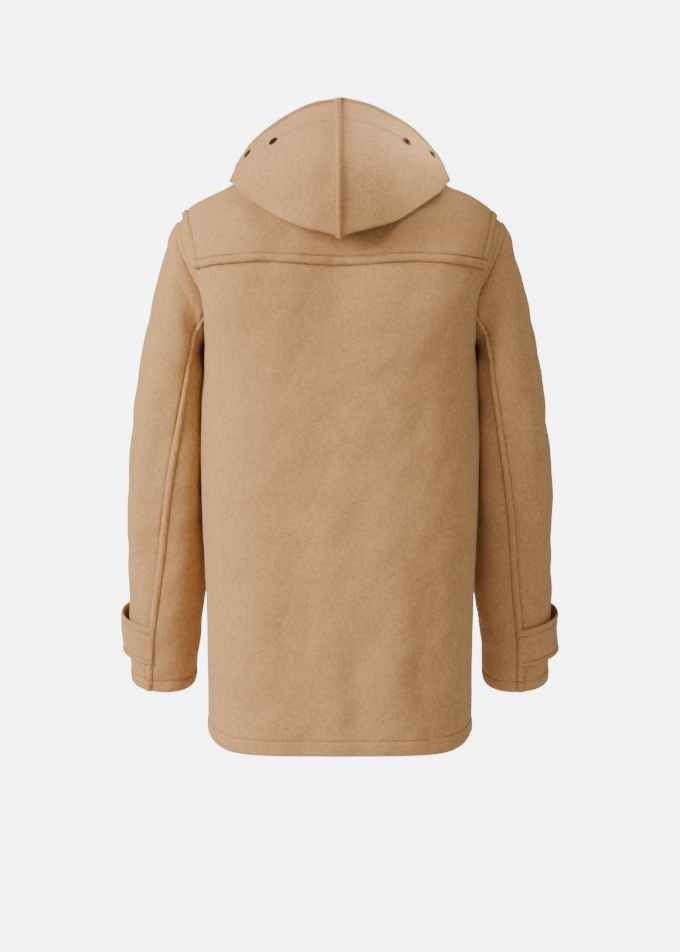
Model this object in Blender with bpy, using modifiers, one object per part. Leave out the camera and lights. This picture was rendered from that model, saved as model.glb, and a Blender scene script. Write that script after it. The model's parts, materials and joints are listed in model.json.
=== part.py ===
"""Duffle coat in heavy melton cloth, with its hood laid back, as it stands when worn.

Metres, +Z up.  The origin is the middle of the neck opening, at the height of the neck seam at the
back.  The front of the coat faces -Y, the back faces +Y, and the wearer's left side is +X.

The body is one hollow form.  A place on it is given by three values:
  face    BACK or FRONT
  across  0 at the middle of the back or front, 1 at the side seam or armhole
  level   0 at the hem, 1 at the chest line, 2 at the shoulder seam and the neck seam
"""

import math
from collections import namedtuple

import bpy
from mathutils import Matrix, Vector

# ---------------------------------------------------------------- driving sizes

BACK, FRONT = 1, -1
LEFT, RIGHT = 1, -1

CLOTH = 0.003               # thickness of the melton
GAP = 0.0003                # clearance between pieces that touch
SEAM = GAP / 2              # how far each piece stops short of its seam line

CHEST_LINE = -0.285         # height of the last level ring, below the armholes
HEM_LIFT_POWER = 7          # how late the hem turns up towards the side seams
BODY_ROUNDNESS = 2.9        # 2 is an ellipse, more is squarer

NECK_HALF_WIDTH = 0.085
NECK_BACK_DEPTH = 0.072
NECK_FRONT_DEPTH = 0.085
NECK_SIDE_HEIGHT = 0.010
THROAT_HEIGHT = -0.075

OVERLAP = 0.125             # how far each front passes the middle, as a share across
NECK_SHARE = 0.375          # share across at which the neck seam meets the shoulder seam

YOKE_CLEARANCE = 0.0020     # the yoke stands this far off the panels under it
YOKE_NECK_INSET = 0.014     # share of a level left free along the back of the neck
YOKE_NECK_POINT = 0.40      # where the yoke starts on the shoulder seam, as a share across
YOKE_TOP_REACH = 0.925      # how far across the yoke reaches on the shoulder
YOKE_CORNER_REACH = 0.955   # and at its lower corners, nearer the armhole

BodyRing = namedtuple("BodyRing", "name middle_height side_height half_width back_depth front_depth")
BODY_RINGS = (
    BodyRing("hem", -0.824, -0.803, 0.1874, 0.131, 0.130),
    BodyRing("above hem", -0.760, -0.752, 0.1878, 0.130, 0.130),
    BodyRing("hip", -0.600, -0.600, 0.1905, 0.127, 0.130),
    BodyRing("high hip", -0.500, -0.500, 0.1950, 0.123, 0.128),
    BodyRing("waist", -0.420, -0.420, 0.1970, 0.121, 0.128),
    BodyRing("ribs", -0.345, -0.345, 0.1968, 0.123, 0.131),
    BodyRing("chest", CHEST_LINE, CHEST_LINE, 0.1945, 0.126, 0.134),
)

Place = namedtuple("Place", "name x y z")
BACK_ARMHOLE = (
    Place("underarm", 0.1925, 0.000, -0.2450),
    Place("low curve", 0.1912, 0.034, -0.2390),
    Place("low back", 0.1900, 0.056, -0.2150),
    Place("across back", 0.1912, 0.062, -0.1880),
    Place("blade", 0.2035, 0.063, -0.1685),
    Place("high back", 0.2132, 0.061, -0.1500),
    Place("behind tip", 0.2275, 0.050, -0.1207),
    Place("near tip", 0.2372, 0.022, -0.0870),
    Place("shoulder tip", 0.2385, -0.004, -0.0800),
)
FRONT_ARMHOLE = (
    Place("underarm", 0.1925, 0.000, -0.2450),
    Place("low curve", 0.1912, -0.034, -0.2395),
    Place("low front", 0.1875, -0.058, -0.2180),
    Place("across front", 0.1872, -0.067, -0.1900),
    Place("chest", 0.1960, -0.068, -0.1650),
    Place("high front", 0.2090, -0.064, -0.1440),
    Place("before tip", 0.2250, -0.052, -0.1180),
    Place("near tip", 0.2365, -0.027, -0.0870),
    Place("shoulder tip", 0.2385, -0.004, -0.0800),
)
SHOULDER_SEAM = (
    Place("neck point", NECK_HALF_WIDTH, 0.000, NECK_SIDE_HEIGHT),
    Place("inner shoulder", 0.157, -0.001, -0.0280),
    Place("outer shoulder", 0.210, -0.003, -0.0575),
    Place("shoulder tip", 0.2385, -0.004, -0.0800),
)
CENTRE_BACK = (
    Place("chest", 0, 0.1260, CHEST_LINE),
    Place("blades", 0, 0.1255, -0.200),
    Place("yoke edge", 0, 0.1200, -0.145),
    Place("upper back", 0, 0.1085, -0.090),
    Place("below neck", 0, 0.0910, -0.040),
    Place("neck", 0, NECK_BACK_DEPTH, 0.0),
)
CENTRE_FRONT = (
    Place("chest", 0, -0.1340, CHEST_LINE),
    Place("upper chest", 0, -0.1320, -0.220),
    Place("breast bone", 0, -0.1200, -0.160),
    Place("below throat", 0, -0.1030, -0.115),
    Place("throat", 0, -NECK_FRONT_DEPTH, THROAT_HEIGHT),
)

# How the panels are divided: more rows than this only add facets.
HALF_COLUMNS = 8
LOWER_LEVELS = 9
NECK_COLUMN = round(NECK_SHARE * HALF_COLUMNS)
UNDERARM_LEVEL = 1.1
YOKE_BACK_LEVEL = 1.46      # the yoke's bottom edge across the back
YOKE_FRONT_LEVEL = 1.64
ARMHOLE_LEVELS = (UNDERARM_LEVEL, 1.22, 1.34, YOKE_BACK_LEVEL, 1.55, YOKE_FRONT_LEVEL,
                  1.74, 1.84, 1.93, 2.0)
ARMHOLE_ROWS = len(ARMHOLE_LEVELS) - 1
SHOULDER_PACE = 1.46        # keeps the rows level across the back, so the yoke's edge is straight
LEVEL_PEAK = -0.020         # the height that low rows arch towards, the same right across
ARMHOLE_PACE = 0.672        # below 1 the levels rise faster at the foot of the armhole


# ---------------------------------------------------------------- curves

def point(place):
    """The position of a row of a table of places."""
    return Vector((place.x, place.y, place.z))


def mix(start, end, share):
    """The value or point at a share of the way from start to end."""
    return start + (end - start) * share


def ease(share):
    """0 to 1, starting and ending gently."""
    share = min(max(share, 0.0), 1.0)
    return share * share * (3.0 - 2.0 * share)


def smooth_curve(keys, steps=12):
    """A smooth curve through points, as a function of the share of its length, 0 to 1."""
    keys = [Vector(key) for key in keys]
    ends = [keys[0] * 2 - keys[1]] + keys + [keys[-1] * 2 - keys[-2]]
    dense = [keys[0]]
    for before, start, end, after in zip(ends, ends[1:], ends[2:], ends[3:]):
        span = max((end - start).length, 1e-9)
        leave = (end - before) * (span / max((end - before).length, span))
        arrive = (after - start) * (span / max((after - start).length, span))
        for step in range(1, steps + 1):
            t = step / steps
            dense.append(start * (1 + 2 * t) * (1 - t) ** 2 + end * (3 - 2 * t) * t ** 2
                         + leave * t * (1 - t) ** 2 - arrive * t ** 2 * (1 - t))
    return by_length(dense)


def by_length(dense):
    """The polyline through the points, as a function of the share of its length."""
    reach = [0.0]
    for start, end in zip(dense, dense[1:]):
        reach.append(reach[-1] + (end - start).length)

    def at(share):
        wanted = min(max(share, 0.0), 1.0) * reach[-1]
        index = 1
        while index < len(reach) - 1 and reach[index] < wanted:
            index += 1
        span = max(reach[index] - reach[index - 1], 1e-12)
        return mix(dense[index - 1], dense[index], (wanted - reach[index - 1]) / span)

    at.length = reach[-1]
    return at


def spline_at(values, place):
    """Numbers or points read smoothly at a place counted in steps along the list."""
    place = min(max(place, 0.0), len(values) - 1.0)
    index = min(int(place), len(values) - 2)
    t = place - index
    before, after = max(index - 1, 0), min(index + 2, len(values) - 1)
    start, end = values[index], values[index + 1]
    leave = (end - values[before]) / (index + 1 - before)
    arrive = (values[after] - start) / (after - index)
    return (start * (1 + 2 * t) * (1 - t) ** 2 + end * (3 - 2 * t) * t ** 2
            + leave * t * (1 - t) ** 2 - arrive * t ** 2 * (1 - t))


def table_at(table, column, share):
    """A column of a table of rings, read smoothly at a share of the way down the rows."""
    return spline_at([getattr(row, column) for row in table], share * (len(table) - 1))


# ---------------------------------------------------------------- the form of the body

def body_section(share, face):
    """Half of a level ring of the body, from the middle of the back or front to the side seam."""
    half_width = table_at(BODY_RINGS, "half_width", share)
    depth = table_at(BODY_RINGS, "back_depth" if face == BACK else "front_depth", share)
    middle = table_at(BODY_RINGS, "middle_height", share)
    side = table_at(BODY_RINGS, "side_height", share)
    power = 2.0 / BODY_ROUNDNESS
    dense = []
    for step in range(49):
        angle = math.radians(90.0) * step / 48
        out = math.sin(angle) ** power
        dense.append(Vector((half_width * out, face * depth * math.cos(angle) ** power,
                             mix(middle, side, out ** HEM_LIFT_POWER))))
    return by_length(dense)


def neck_curve(face):
    """Half of the neck seam, from the middle of the back or front to the neck point."""
    depth = NECK_BACK_DEPTH if face == BACK else NECK_FRONT_DEPTH
    middle = 0.0 if face == BACK else THROAT_HEIGHT
    dense = []
    for step in range(25):
        angle = math.radians(90.0) * step / 24
        dense.append(Vector((NECK_HALF_WIDTH * math.sin(angle), face * depth * math.cos(angle),
                             mix(middle, NECK_SIDE_HEIGHT, 1 - math.cos(angle) ** 1.4))))
    return by_length(dense)


BODY_CACHE = {}
SHOULDER = smooth_curve([point(place) for place in SHOULDER_SEAM])
NECK = {face: neck_curve(face) for face in (BACK, FRONT)}
CENTRE = {BACK: smooth_curve([point(place) for place in CENTRE_BACK]),
          FRONT: smooth_curve([point(place) for place in CENTRE_FRONT])}
ARMHOLE = {BACK: smooth_curve([point(place) for place in BACK_ARMHOLE]),
           FRONT: smooth_curve([point(place) for place in FRONT_ARMHOLE])}


def body_ring(share, face):
    """body_section, worked out once for each level."""
    key = (round(share, 6), face)
    if key not in BODY_CACHE:
        BODY_CACHE[key] = body_section(share, face)
    return BODY_CACHE[key]


def top_edge(across, face):
    """The neck seam, then the shoulder seam."""
    if across < NECK_SHARE:
        return NECK[face](across / NECK_SHARE)
    return SHOULDER((across - NECK_SHARE) / (1 - NECK_SHARE))


def side_edge(level, face):
    """The last of the side seam, then the armhole."""
    if level < UNDERARM_LEVEL:
        chest = body_ring(1.0, face)(1.0)
        return mix(chest, point(BACK_ARMHOLE[0]), (level - 1.0) / (UNDERARM_LEVEL - 1.0))
    share = (level - UNDERARM_LEVEL) / (2.0 - UNDERARM_LEVEL)
    return ARMHOLE[face](share ** ARMHOLE_PACE)


def upper_body(across, rise, face):
    """The form above the chest line: arches up to the shoulder, fitted to the four edges."""
    def arch(share):
        foot = body_ring(1.0, face)(share)
        top = top_edge(share, face)
        turn = math.radians(90.0) * rise ** SHOULDER_PACE
        peak = mix(LEVEL_PEAK, top.z, ease(rise))
        return Vector((mix(foot.x, top.x, 1 - math.cos(turn)),
                       mix(top.y, foot.y, math.cos(turn)),
                       mix(foot.z, peak, math.sin(turn))))

    middle_pull = (1 - across) ** 1.5
    side_pull = across ** 1.2
    return (arch(across) + (CENTRE[face](rise) - arch(0.0)) * middle_pull
            + (side_edge(1.0 + rise, face) - arch(1.0)) * side_pull)


def body_point(across, level, face):
    """A point of the outside of the body panels."""
    share = abs(across)
    if level <= 1.0:
        place = body_ring(level, face)(share)
    else:
        place = upper_body(share, level - 1.0, face)
    if across < 0:
        place = Vector((-place.x, place.y, place.z))
    return place


def face_normal(across, level, face):
    """The direction straight out of one face's cloth there."""
    step = 0.01
    low, high = max(level - step, 0.0), min(level + step, 2.0)
    near, far = max(across - step, -1.0), min(across + step, 1.0)
    along = body_point(far, level, face) - body_point(near, level, face)
    up = body_point(across, high, face) - body_point(across, low, face)
    return (up.cross(along) * face).normalized()


def body_normal(across, level, face):
    """The direction straight out of the cloth, the same for both faces where they are sewn."""
    on_side_seam = abs(across) > 0.99 and level <= UNDERARM_LEVEL
    on_shoulder_seam = level > 1.99 and abs(across) >= NECK_SHARE
    normal = face_normal(across, level, face)
    if on_side_seam or on_shoulder_seam:
        normal = (normal + face_normal(across, level, -face)).normalized()
    if abs(across) > 0.99 and level > UNDERARM_LEVEL:
        index = ARMHOLE_ROWS - face * rows_up_armhole(level)
        side = LEFT if across > 0 else RIGHT
        normal = joined(normal, sleeve_face_normal(index, 0.0, side))
    return normal


def rows_up_armhole(level):
    """How many rows above the underarm a level is."""
    row = 0
    while row < ARMHOLE_ROWS - 1 and ARMHOLE_LEVELS[row + 1] < level:
        row += 1
    low, high = ARMHOLE_LEVELS[row], ARMHOLE_LEVELS[row + 1]
    return row + (level - low) / (high - low)


def level_on_armhole(rows_up):
    """The level that many rows above the underarm."""
    row = min(int(rows_up), ARMHOLE_ROWS - 1)
    return mix(ARMHOLE_LEVELS[row], ARMHOLE_LEVELS[row + 1], rows_up - row)


def joined(own, other):
    """The direction in which two sewn edges share their thickness, where they face alike."""
    return (own + other).normalized() if own.dot(other) > 0.2 else own


def on_body(across, level, face, out):
    """A point that stands off the panels by a distance."""
    return body_point(across, level, face) + body_normal(across, level, face) * out


def panel_pair(across, level, face, out):
    """The outside and the inside of a panel that stands off the form by a distance."""
    return on_body(across, level, face, out), on_body(across, level, face, out - CLOTH)


# ---------------------------------------------------------------- making solids

def material(name, colour, roughness, metallic=0.0):
    """A plain material with the colour of the real one."""
    made = bpy.data.materials.new(name)
    made.use_nodes = True
    shader = made.node_tree.nodes["Principled BSDF"]
    shader.inputs["Base Color"].default_value = (*colour, 1.0)
    shader.inputs["Roughness"].default_value = roughness
    shader.inputs["Metallic"].default_value = metallic
    return made


def add_object(name, mesh, stuff, collection):
    """An object in the coat's collection."""
    made = bpy.data.objects.new(name, mesh)
    mesh.materials.append(stuff)
    collection.objects.link(made)
    return made


def split(quad, points):
    """Two triangles from a quad, cut along its shorter diagonal, as on the pieces beside it."""
    a, b, c, d = quad
    if (points[a] - points[c]).length <= (points[b] - points[d]).length:
        return (a, b, c), (a, c, d)
    return (a, b, d), (b, c, d)


def cloth_wall(name, outside, inside, quads, stuff, collection):
    """A closed sheet of cloth from its two faces, with a rim round every free edge."""
    count = len(outside)
    points = list(outside) + list(inside)
    rim = {}
    for quad in quads:
        for start, end in zip(quad, quad[1:] + quad[:1]):
            if (end, start) in rim:
                del rim[(end, start)]
            else:
                rim[(start, end)] = True
    faces = [half for quad in quads for half in split(quad, points)]
    faces += [tuple(index + count for index in reversed(face)) for face in faces]
    for start, end in rim:
        faces += split((end, start, start + count, end + count), points)
    mesh = bpy.data.meshes.new(name)
    mesh.from_pydata(points, [], faces)
    mesh.shade_smooth()
    mesh.set_sharp_from_angle(angle=math.radians(40))
    return add_object(name, mesh, stuff, collection)


def grid_sheet(name, rows, stuff, collection, outward=1):
    """A sheet from rows of (outside, inside) points; outward is -1 for rows run the other way."""
    width = len(rows[0])
    outside = [pair[0] for row in rows for pair in row]
    inside = [pair[1] for row in rows for pair in row]
    quads = []
    for row in range(len(rows) - 1):
        for column in range(width - 1):
            corner = row * width + column
            quad = (corner, corner + 1, corner + width + 1, corner + width)
            quads.append(quad if outward > 0 else quad[::-1])
    return cloth_wall(name, outside, inside, quads, stuff, collection)


def steps(count, start=0.0, end=1.0):
    """count + 1 even values from start to end."""
    return [mix(start, end, index / count) for index in range(count + 1)]


def body_levels(face):
    """The levels of a body panel's rows, short of the shoulder seam by half the gap."""
    lower = steps(LOWER_LEVELS)[:-1]
    return lower + [1.0] + list(ARMHOLE_LEVELS[:-1]) + [2.0 - SEAM / CENTRE[face].length]


def short_of_seam(across):
    """The share across, kept half a gap inside the side seam and the armhole."""
    limit = 1.0 - SEAM / body_ring(1.0, BACK).length
    return min(max(across, -limit), limit)


# ---------------------------------------------------------------- body panels

def make_back(cloth, coat):
    """The whole back, with no seam down its middle."""
    columns = [short_of_seam(across) for across in steps(2 * HALF_COLUMNS, -1.0, 1.0)]
    rows = [[panel_pair(across, level, BACK, 0.0) for across in columns]
            for level in body_levels(BACK)]
    grid_sheet("back", rows, cloth, coat, outward=-1)


def make_fronts(cloth, coat):
    """Two fronts: the wearer's left laps over the right, which runs under it."""
    columns = [short_of_seam(across) for across in steps(HALF_COLUMNS)]
    under = CLOTH + GAP * 2
    left_rows, right_rows = [], []
    for level in body_levels(FRONT):
        left_rows.append([panel_pair(across, level, FRONT, 0.0) for across in [-OVERLAP] + columns])
        right_rows.append([
            panel_pair(across, level, FRONT, -under * ease((2.2 * OVERLAP + across) / (1.1 * OVERLAP)))
            for across in [OVERLAP] + [-column for column in columns]])
    grid_sheet("front_left", left_rows, cloth, coat)
    grid_sheet("front_right", right_rows, cloth, coat, outward=-1)


# ---------------------------------------------------------------- yoke

def yoke_across(column, level):
    """The share across of a column of the yoke: the last one is its own side edge."""
    if column == NECK_COLUMN and level == 2.0:
        return YOKE_NECK_POINT
    if column < HALF_COLUMNS:
        return column / HALF_COLUMNS
    rise = (level - YOKE_BACK_LEVEL) / (2.0 - YOKE_BACK_LEVEL)
    return mix(YOKE_CORNER_REACH, YOKE_TOP_REACH, ease(rise))


def yoke_levels(column, face):
    """Levels of the yoke's rows, from its bottom edge up: the rows of the panel under it."""
    low = YOKE_BACK_LEVEL if face == BACK else YOKE_FRONT_LEVEL
    levels = [level for level in ARMHOLE_LEVELS if level >= low]
    if column < NECK_COLUMN and face == BACK:
        levels[-1] -= YOKE_NECK_INSET
    elif column < NECK_COLUMN:
        levels.pop()
    return levels


def make_yoke(cloth, coat):
    """One overlay: across the back, over both shoulders and down the tops of the fronts."""
    outside, inside, index_of, quads = [], [], {}, []

    def pair_at(column, level, face, side):
        """The yoke's two faces there, mirrored to its side; its edge lies on the panel's facets."""
        out = YOKE_CLEARANCE + CLOTH
        inner = min(column, HALF_COLUMNS - 1) / HALF_COLUMNS
        share = (yoke_across(column, level) - inner) * HALF_COLUMNS
        pair = zip(panel_pair(inner, level, face, out),
                   panel_pair(inner + 1 / HALF_COLUMNS, level, face, out))
        return [Vector((side * near.x, near.y, near.z)) if share == 0 else
                Vector((side * mix(near.x, far.x, share), mix(near.y, far.y, share),
                        mix(near.z, far.z, share))) for near, far in pair]

    def add(side, column, row, face):
        """A point of the yoke, shared where the back and the front meet on the shoulder."""
        levels = yoke_levels(column, face)
        on_shoulder = row == len(levels) - 1 and column >= NECK_COLUMN
        side = 1 if column == 0 else side
        key = (side, column, "shoulder") if on_shoulder else (side, column, row, face)
        if key not in index_of:
            pair = pair_at(column, levels[row], face, side)
            if on_shoulder:
                other = pair_at(column, levels[row], -face, side)
                pair = [(near + far) / 2 for near, far in zip(pair, other)]
            index_of[key] = len(outside)
            outside.append(pair[0])
            inside.append(pair[1])
        return index_of[key]

    for face in (BACK, FRONT):
        first = 0 if face == BACK else 1
        for side in (LEFT, RIGHT):
            for column in range(first, HALF_COLUMNS):
                for row in range(len(yoke_levels(column, face)) - 1):
                    corners = (add(side, column, row, face), add(side, column + 1, row, face),
                               add(side, column + 1, row + 1, face), add(side, column, row + 1, face))
                    quads.append(corners[::-1] if side * face > 0 else corners)
    cloth_wall("yoke", outside, inside, quads, cloth, coat)


# ---------------------------------------------------------------- sleeves

SleeveRing = namedtuple("SleeveRing", "name outer_x outer_z inner_x inner_z centre_y half_depth lean")
SLEEVE_RINGS = (
    SleeveRing("armhole", 0.2385, -0.080, 0.1935, -0.245, -0.002, 0.066, 0.0),
    SleeveRing("cap", 0.2500, -0.113, 0.2000, -0.262, -0.004, 0.072, 0.0),
    SleeveRing("high arm", 0.2640, -0.163, 0.2010, -0.292, -0.009, 0.075, 0.0),
    SleeveRing("arm", 0.2810, -0.232, 0.2005, -0.337, -0.017, 0.074, 2.0),
    SleeveRing("above elbow", 0.2935, -0.301, 0.2000, -0.388, -0.026, 0.072, 4.0),
    SleeveRing("elbow", 0.3035, -0.388, 0.1994, -0.452, -0.040, 0.070, 8.0),
    SleeveRing("below elbow", 0.3095, -0.474, 0.1985, -0.520, -0.056, 0.067, 12.0),
    SleeveRing("forearm", 0.3125, -0.560, 0.1968, -0.592, -0.077, 0.063, 16.0),
    SleeveRing("wrist", 0.3135, -0.655, 0.2075, -0.669, -0.101, 0.059, 19.0),
    SleeveRing("cuff", 0.3120, -0.738, 0.2160, -0.741, -0.123, 0.056, 20.0),
)
SLEEVE_ROUNDNESS = 2.25
SLEEVE_ROWS = 17
ARMHOLE_FADE = (0.085, 0.36)  # share of the sleeve where the armhole's shape fades: under, top
BACK_SEAM = 8               # armhole points from the shoulder tip to the back sleeve seam
FRONT_SEAM = 12             # and to the front sleeve seam, on round the armhole
ARMHOLE_POINTS = 2 * ARMHOLE_ROWS

# Angle of the back sleeve seam round each ring: 0 is the outer edge, 90 the middle of the back.
BACK_SEAM_ANGLES = {LEFT: (140, 138, 134, 126, 117, 105, 96, 88, 81, 76),
                    RIGHT: (140, 138, 134, 127, 119, 109, 101, 95, 92, 92)}
FRONT_SEAM_ANGLE = 232


def armhole_loop(index):
    """The armhole, point by point from the shoulder tip down the back and up the front."""
    face = BACK if index <= ARMHOLE_ROWS else FRONT
    return side_edge(level_on_armhole(abs(ARMHOLE_ROWS - index)), face)


def spread_angle(index, back_seam):
    """The angle round a ring of one of its points, so that both seams fall on a point."""
    if index <= BACK_SEAM:
        return back_seam * index / BACK_SEAM
    if index <= FRONT_SEAM:
        return mix(back_seam, FRONT_SEAM_ANGLE, (index - BACK_SEAM) / (FRONT_SEAM - BACK_SEAM))
    return mix(FRONT_SEAM_ANGLE, 360, (index - FRONT_SEAM) / (ARMHOLE_POINTS - FRONT_SEAM))


def ring_point(share, angle):
    """A point on a plain sleeve ring of the left sleeve."""
    ring = {column: table_at(SLEEVE_RINGS, column, share) for column in SleeveRing._fields[1:]}
    outer = Vector((ring["outer_x"], 0, ring["outer_z"]))
    inner = Vector((ring["inner_x"], 0, ring["inner_z"]))
    power = 2.0 / SLEEVE_ROUNDNESS
    turn = math.radians(angle)
    across = math.copysign(abs(math.cos(turn)) ** power, math.cos(turn))
    back = math.copysign(abs(math.sin(turn)) ** power, math.sin(turn))
    middle = (outer + inner) / 2 + Vector((0, ring["centre_y"], 0))
    lean = math.radians(ring["lean"])
    depth = Vector((0, math.cos(lean), -math.sin(lean))) * ring["half_depth"]
    return middle + (outer - inner) / 2 * across + depth * back


def sleeve_point(index, share, side):
    """A point of the outside of a sleeve: the armhole's own shape fades into plain rings."""
    index = index % ARMHOLE_POINTS
    back_seam = table_at_list(BACK_SEAM_ANGLES[side], share)
    place = ring_point(share, spread_angle(index, back_seam))
    first = ring_point(0.0, spread_angle(index, BACK_SEAM_ANGLES[side][0]))
    high_up = abs(ARMHOLE_ROWS - index) / ARMHOLE_ROWS
    fade = 1 - ease(share / mix(*ARMHOLE_FADE, high_up))
    place = place + (armhole_loop(index) - first) * fade
    return Vector((side * place.x, place.y, place.z))


def table_at_list(values, share):
    """A list read straight between its values at a share of the way down it."""
    place = min(max(share, 0.0), 1.0) * (len(values) - 1)
    index = min(int(place), len(values) - 2)
    return mix(values[index], values[index + 1], place - index)


def sleeve_face_normal(index, share, side):
    """The direction straight out of the sleeve there."""
    low, high = max(share - 0.01, 0.0), min(share + 0.01, 1.0)
    round_it = sleeve_point(index + 1, share, side) - sleeve_point(index - 1, share, side)
    down = sleeve_point(index, high, side) - sleeve_point(index, low, side)
    return (down.cross(round_it) * side).normalized()


def sleeve_normal(index, share, side):
    """The same, shared with the body panel along the armhole."""
    own = sleeve_face_normal(index, share, side)
    if share > 0.01:
        return own
    face = BACK if index % ARMHOLE_POINTS <= ARMHOLE_ROWS else FRONT
    level = level_on_armhole(abs(ARMHOLE_ROWS - index % ARMHOLE_POINTS))
    body = face_normal(side, level, face)
    if level > 1.99:
        body = (body + face_normal(side, level, -face)).normalized()
    return joined(own, body)


def make_sleeve(side, cloth, coat):
    """Top sleeve and under sleeve, joined by a seam down the back and one down the front."""
    name = "left" if side == LEFT else "right"
    shares = steps(SLEEVE_ROWS)
    shares[0] = GAP / 0.6
    spans = {"sleeve_top": list(range(FRONT_SEAM, ARMHOLE_POINTS)) + list(range(BACK_SEAM + 1)),
             "sleeve_under": list(range(BACK_SEAM, FRONT_SEAM + 1))}
    for piece, indexes in spans.items():
        rows = []
        for share in shares:
            row = []
            for index in indexes:
                place = sleeve_point(index, share, side)
                row.append((place, place - sleeve_normal(index, share, side) * CLOTH))
            for edge, way in ((0, 1), (-1, -1)):
                index = indexes[edge]
                along = sleeve_point(index + 1, share, side) - sleeve_point(index - 1, share, side)
                row[edge] = tuple(place + along.normalized() * way * SEAM for place in row[edge])
            rows.append(row)
        grid_sheet(f"{piece}_{name}", rows, cloth, coat, outward=-side)


# ---------------------------------------------------------------- cuff straps

STRAP_FROM_EDGE = 0.043     # from the cuff edge to the strap's lower edge
STRAP_HEIGHT = 0.055
STRAP_THICKNESS = 0.003
SLEEVE_RUN = 0.75           # length of sleeve for a whole share, near the cuff
STRAP_COLUMNS = (7.81, 7.07, 6.13, 5.07, 4.0, 2.93, 1.87, 0.8, -0.2, -1.0, -1.8, -2.6, -3.2)
STRAP_STAND_OFF = (0.0007, 0.0012, 0.0018, 0.0026, 0.0038, 0.0052, 0.0064, 0.0072, 0.0072,
                   0.0062, 0.0044, 0.0026, 0.0018)
STRAP_BUTTON_COLUMN = 11
BUTTON_RADIUS = 0.010
BUTTON_THICKNESS = 0.0035


def strap_pair(column, share, side):
    """The outside and the inside of a cuff strap at one of its columns."""
    index = STRAP_COLUMNS[column]
    place = sleeve_point(index, share, side)
    normal = sleeve_face_normal(index, share, side)
    inner = place + normal * STRAP_STAND_OFF[column]
    return inner + normal * STRAP_THICKNESS, inner


def make_cuff_strap(side, cloth, horn, coat):
    """A strap from the back seam round the outside of the cuff, slack, buttoned at the front."""
    name = "left" if side == LEFT else "right"
    low = 1.0 - STRAP_FROM_EDGE / SLEEVE_RUN
    shares = steps(2, low - STRAP_HEIGHT / SLEEVE_RUN, low)
    rows = [[strap_pair(column, share, side) for column in range(len(STRAP_COLUMNS))]
            for share in shares]
    grid_sheet(f"cuff_strap_{name}", rows, cloth, coat, outward=side)

    place, inner = strap_pair(STRAP_BUTTON_COLUMN, shares[1], side)
    out = (place - inner).normalized()
    bpy.ops.mesh.primitive_cylinder_add(vertices=20, radius=BUTTON_RADIUS, depth=BUTTON_THICKNESS,
                                        location=place + out * (BUTTON_THICKNESS / 2 + 3 * GAP),
                                        rotation=out.to_track_quat("Z", "Y").to_euler())
    take_active(f"cuff_button_{name}", horn, coat)
    bevel = bpy.context.object.modifiers.new("rounded rim", "BEVEL")
    bevel.width = 0.001
    bevel.segments = 2
    bevel.limit_method = "ANGLE"


def take_active(name, stuff, coat):
    """Name the object just added, give it its material and move it to the coat."""
    made = bpy.context.object
    made.name = name
    made.data.name = name
    made.data.materials.append(stuff)
    for owner in list(made.users_collection):
        owner.objects.unlink(made)
    coat.objects.link(made)
    return made


# ---------------------------------------------------------------- hood

# Round the neck from the middle of the back to the throat.  neck: 0 back, 1 neck point, 2 throat.
# crest: where the cloth rolls over.  fold: the bottom of the bag that the hood hangs in.
# belly and face: half way up the outer ply, and the face edge.  turn: 1 where the outer ply
# goes back up from the fold, -1 where the hood just falls over the front like a collar.
HoodStation = namedtuple("HoodStation", "name neck crest fold belly face turn")
HOOD_STATIONS = (
    HoodStation("middle back", 0.00, (0.000, 0.098, 0.030), (0.000, 0.165, -0.1150),
                (0.000, 0.188, -0.020), (0.0000, 0.125, 0.0820), 1.0),
    HoodStation("back", 0.30, (0.027, 0.095, 0.031), (0.045, 0.160, -0.1030),
                (0.047, 0.176, -0.016), (0.0450, 0.118, 0.0725), 1.0),
    HoodStation("outer back", 0.60, (0.055, 0.083, 0.034), (0.086, 0.141, -0.0870),
                (0.090, 0.150, -0.015), (0.0870, 0.100, 0.0540), 1.0),
    HoodStation("behind shoulder", 0.85, (0.080, 0.062, 0.038), (0.122, 0.108, -0.0605),
                (0.127, 0.112, -0.012), (0.1220, 0.074, 0.0290), 1.0),
    HoodStation("near corner", 1.00, (0.096, 0.036, 0.042), (0.146, 0.070, -0.0340),
                (0.1505, 0.068, -0.015), (0.1465, 0.045, -0.0020), 1.0),
    HoodStation("corner", 1.10, (0.102, 0.012, 0.044), (0.150, 0.036, -0.0170),
                (0.1545, 0.024, -0.010), (0.1525, 0.008, -0.0070), 0.5),
    HoodStation("shoulder", 1.22, (0.101, -0.010, 0.042), (0.142, 0.002, -0.0080),
                (0.1485, -0.006, -0.012), (0.1530, -0.016, -0.0170), -0.3),
    HoodStation("collar bone", 1.42, (0.095, -0.035, 0.032), (0.131, -0.042, -0.0040),
                (0.1370, -0.052, -0.012), (0.1420, -0.062, -0.0210), -0.9),
    HoodStation("front", 1.65, (0.073, -0.063, 0.004), (0.102, -0.090, -0.0330),
                (0.1060, -0.102, -0.045), (0.1090, -0.113, -0.0570), -1.0),
    HoodStation("by throat", 1.85, (0.045, -0.085, -0.030), (0.060, -0.112, -0.0660),
                (0.0630, -0.121, -0.080), (0.0650, -0.129, -0.0930), -1.0),
    HoodStation("throat", 1.99, (0.013, -0.096, -0.055), (0.019, -0.116, -0.0850),
                (0.0200, -0.123, -0.096), (0.0210, -0.130, -0.1070), -1.0),
)
HOOD_SEAM_GAP = 0.0008      # at the neck seam, where both edges are faceted
HOOD_NECK_RISE = 0.012      # the hood stands straight up this far from the neck seam
HOOD_FOLD_RADIUS = 0.007
HOOD_UNDER_PLY_BOW = 0.006
HOOD_COLUMNS = 12
HOOD_KEY_ROWS = (1, 2, 2, 2, 1, 1, 3, 4)    # rows between one key point of the profile and the next
SEAM_STRIP_EDGES = (0.0065, -0.0035)
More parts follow.
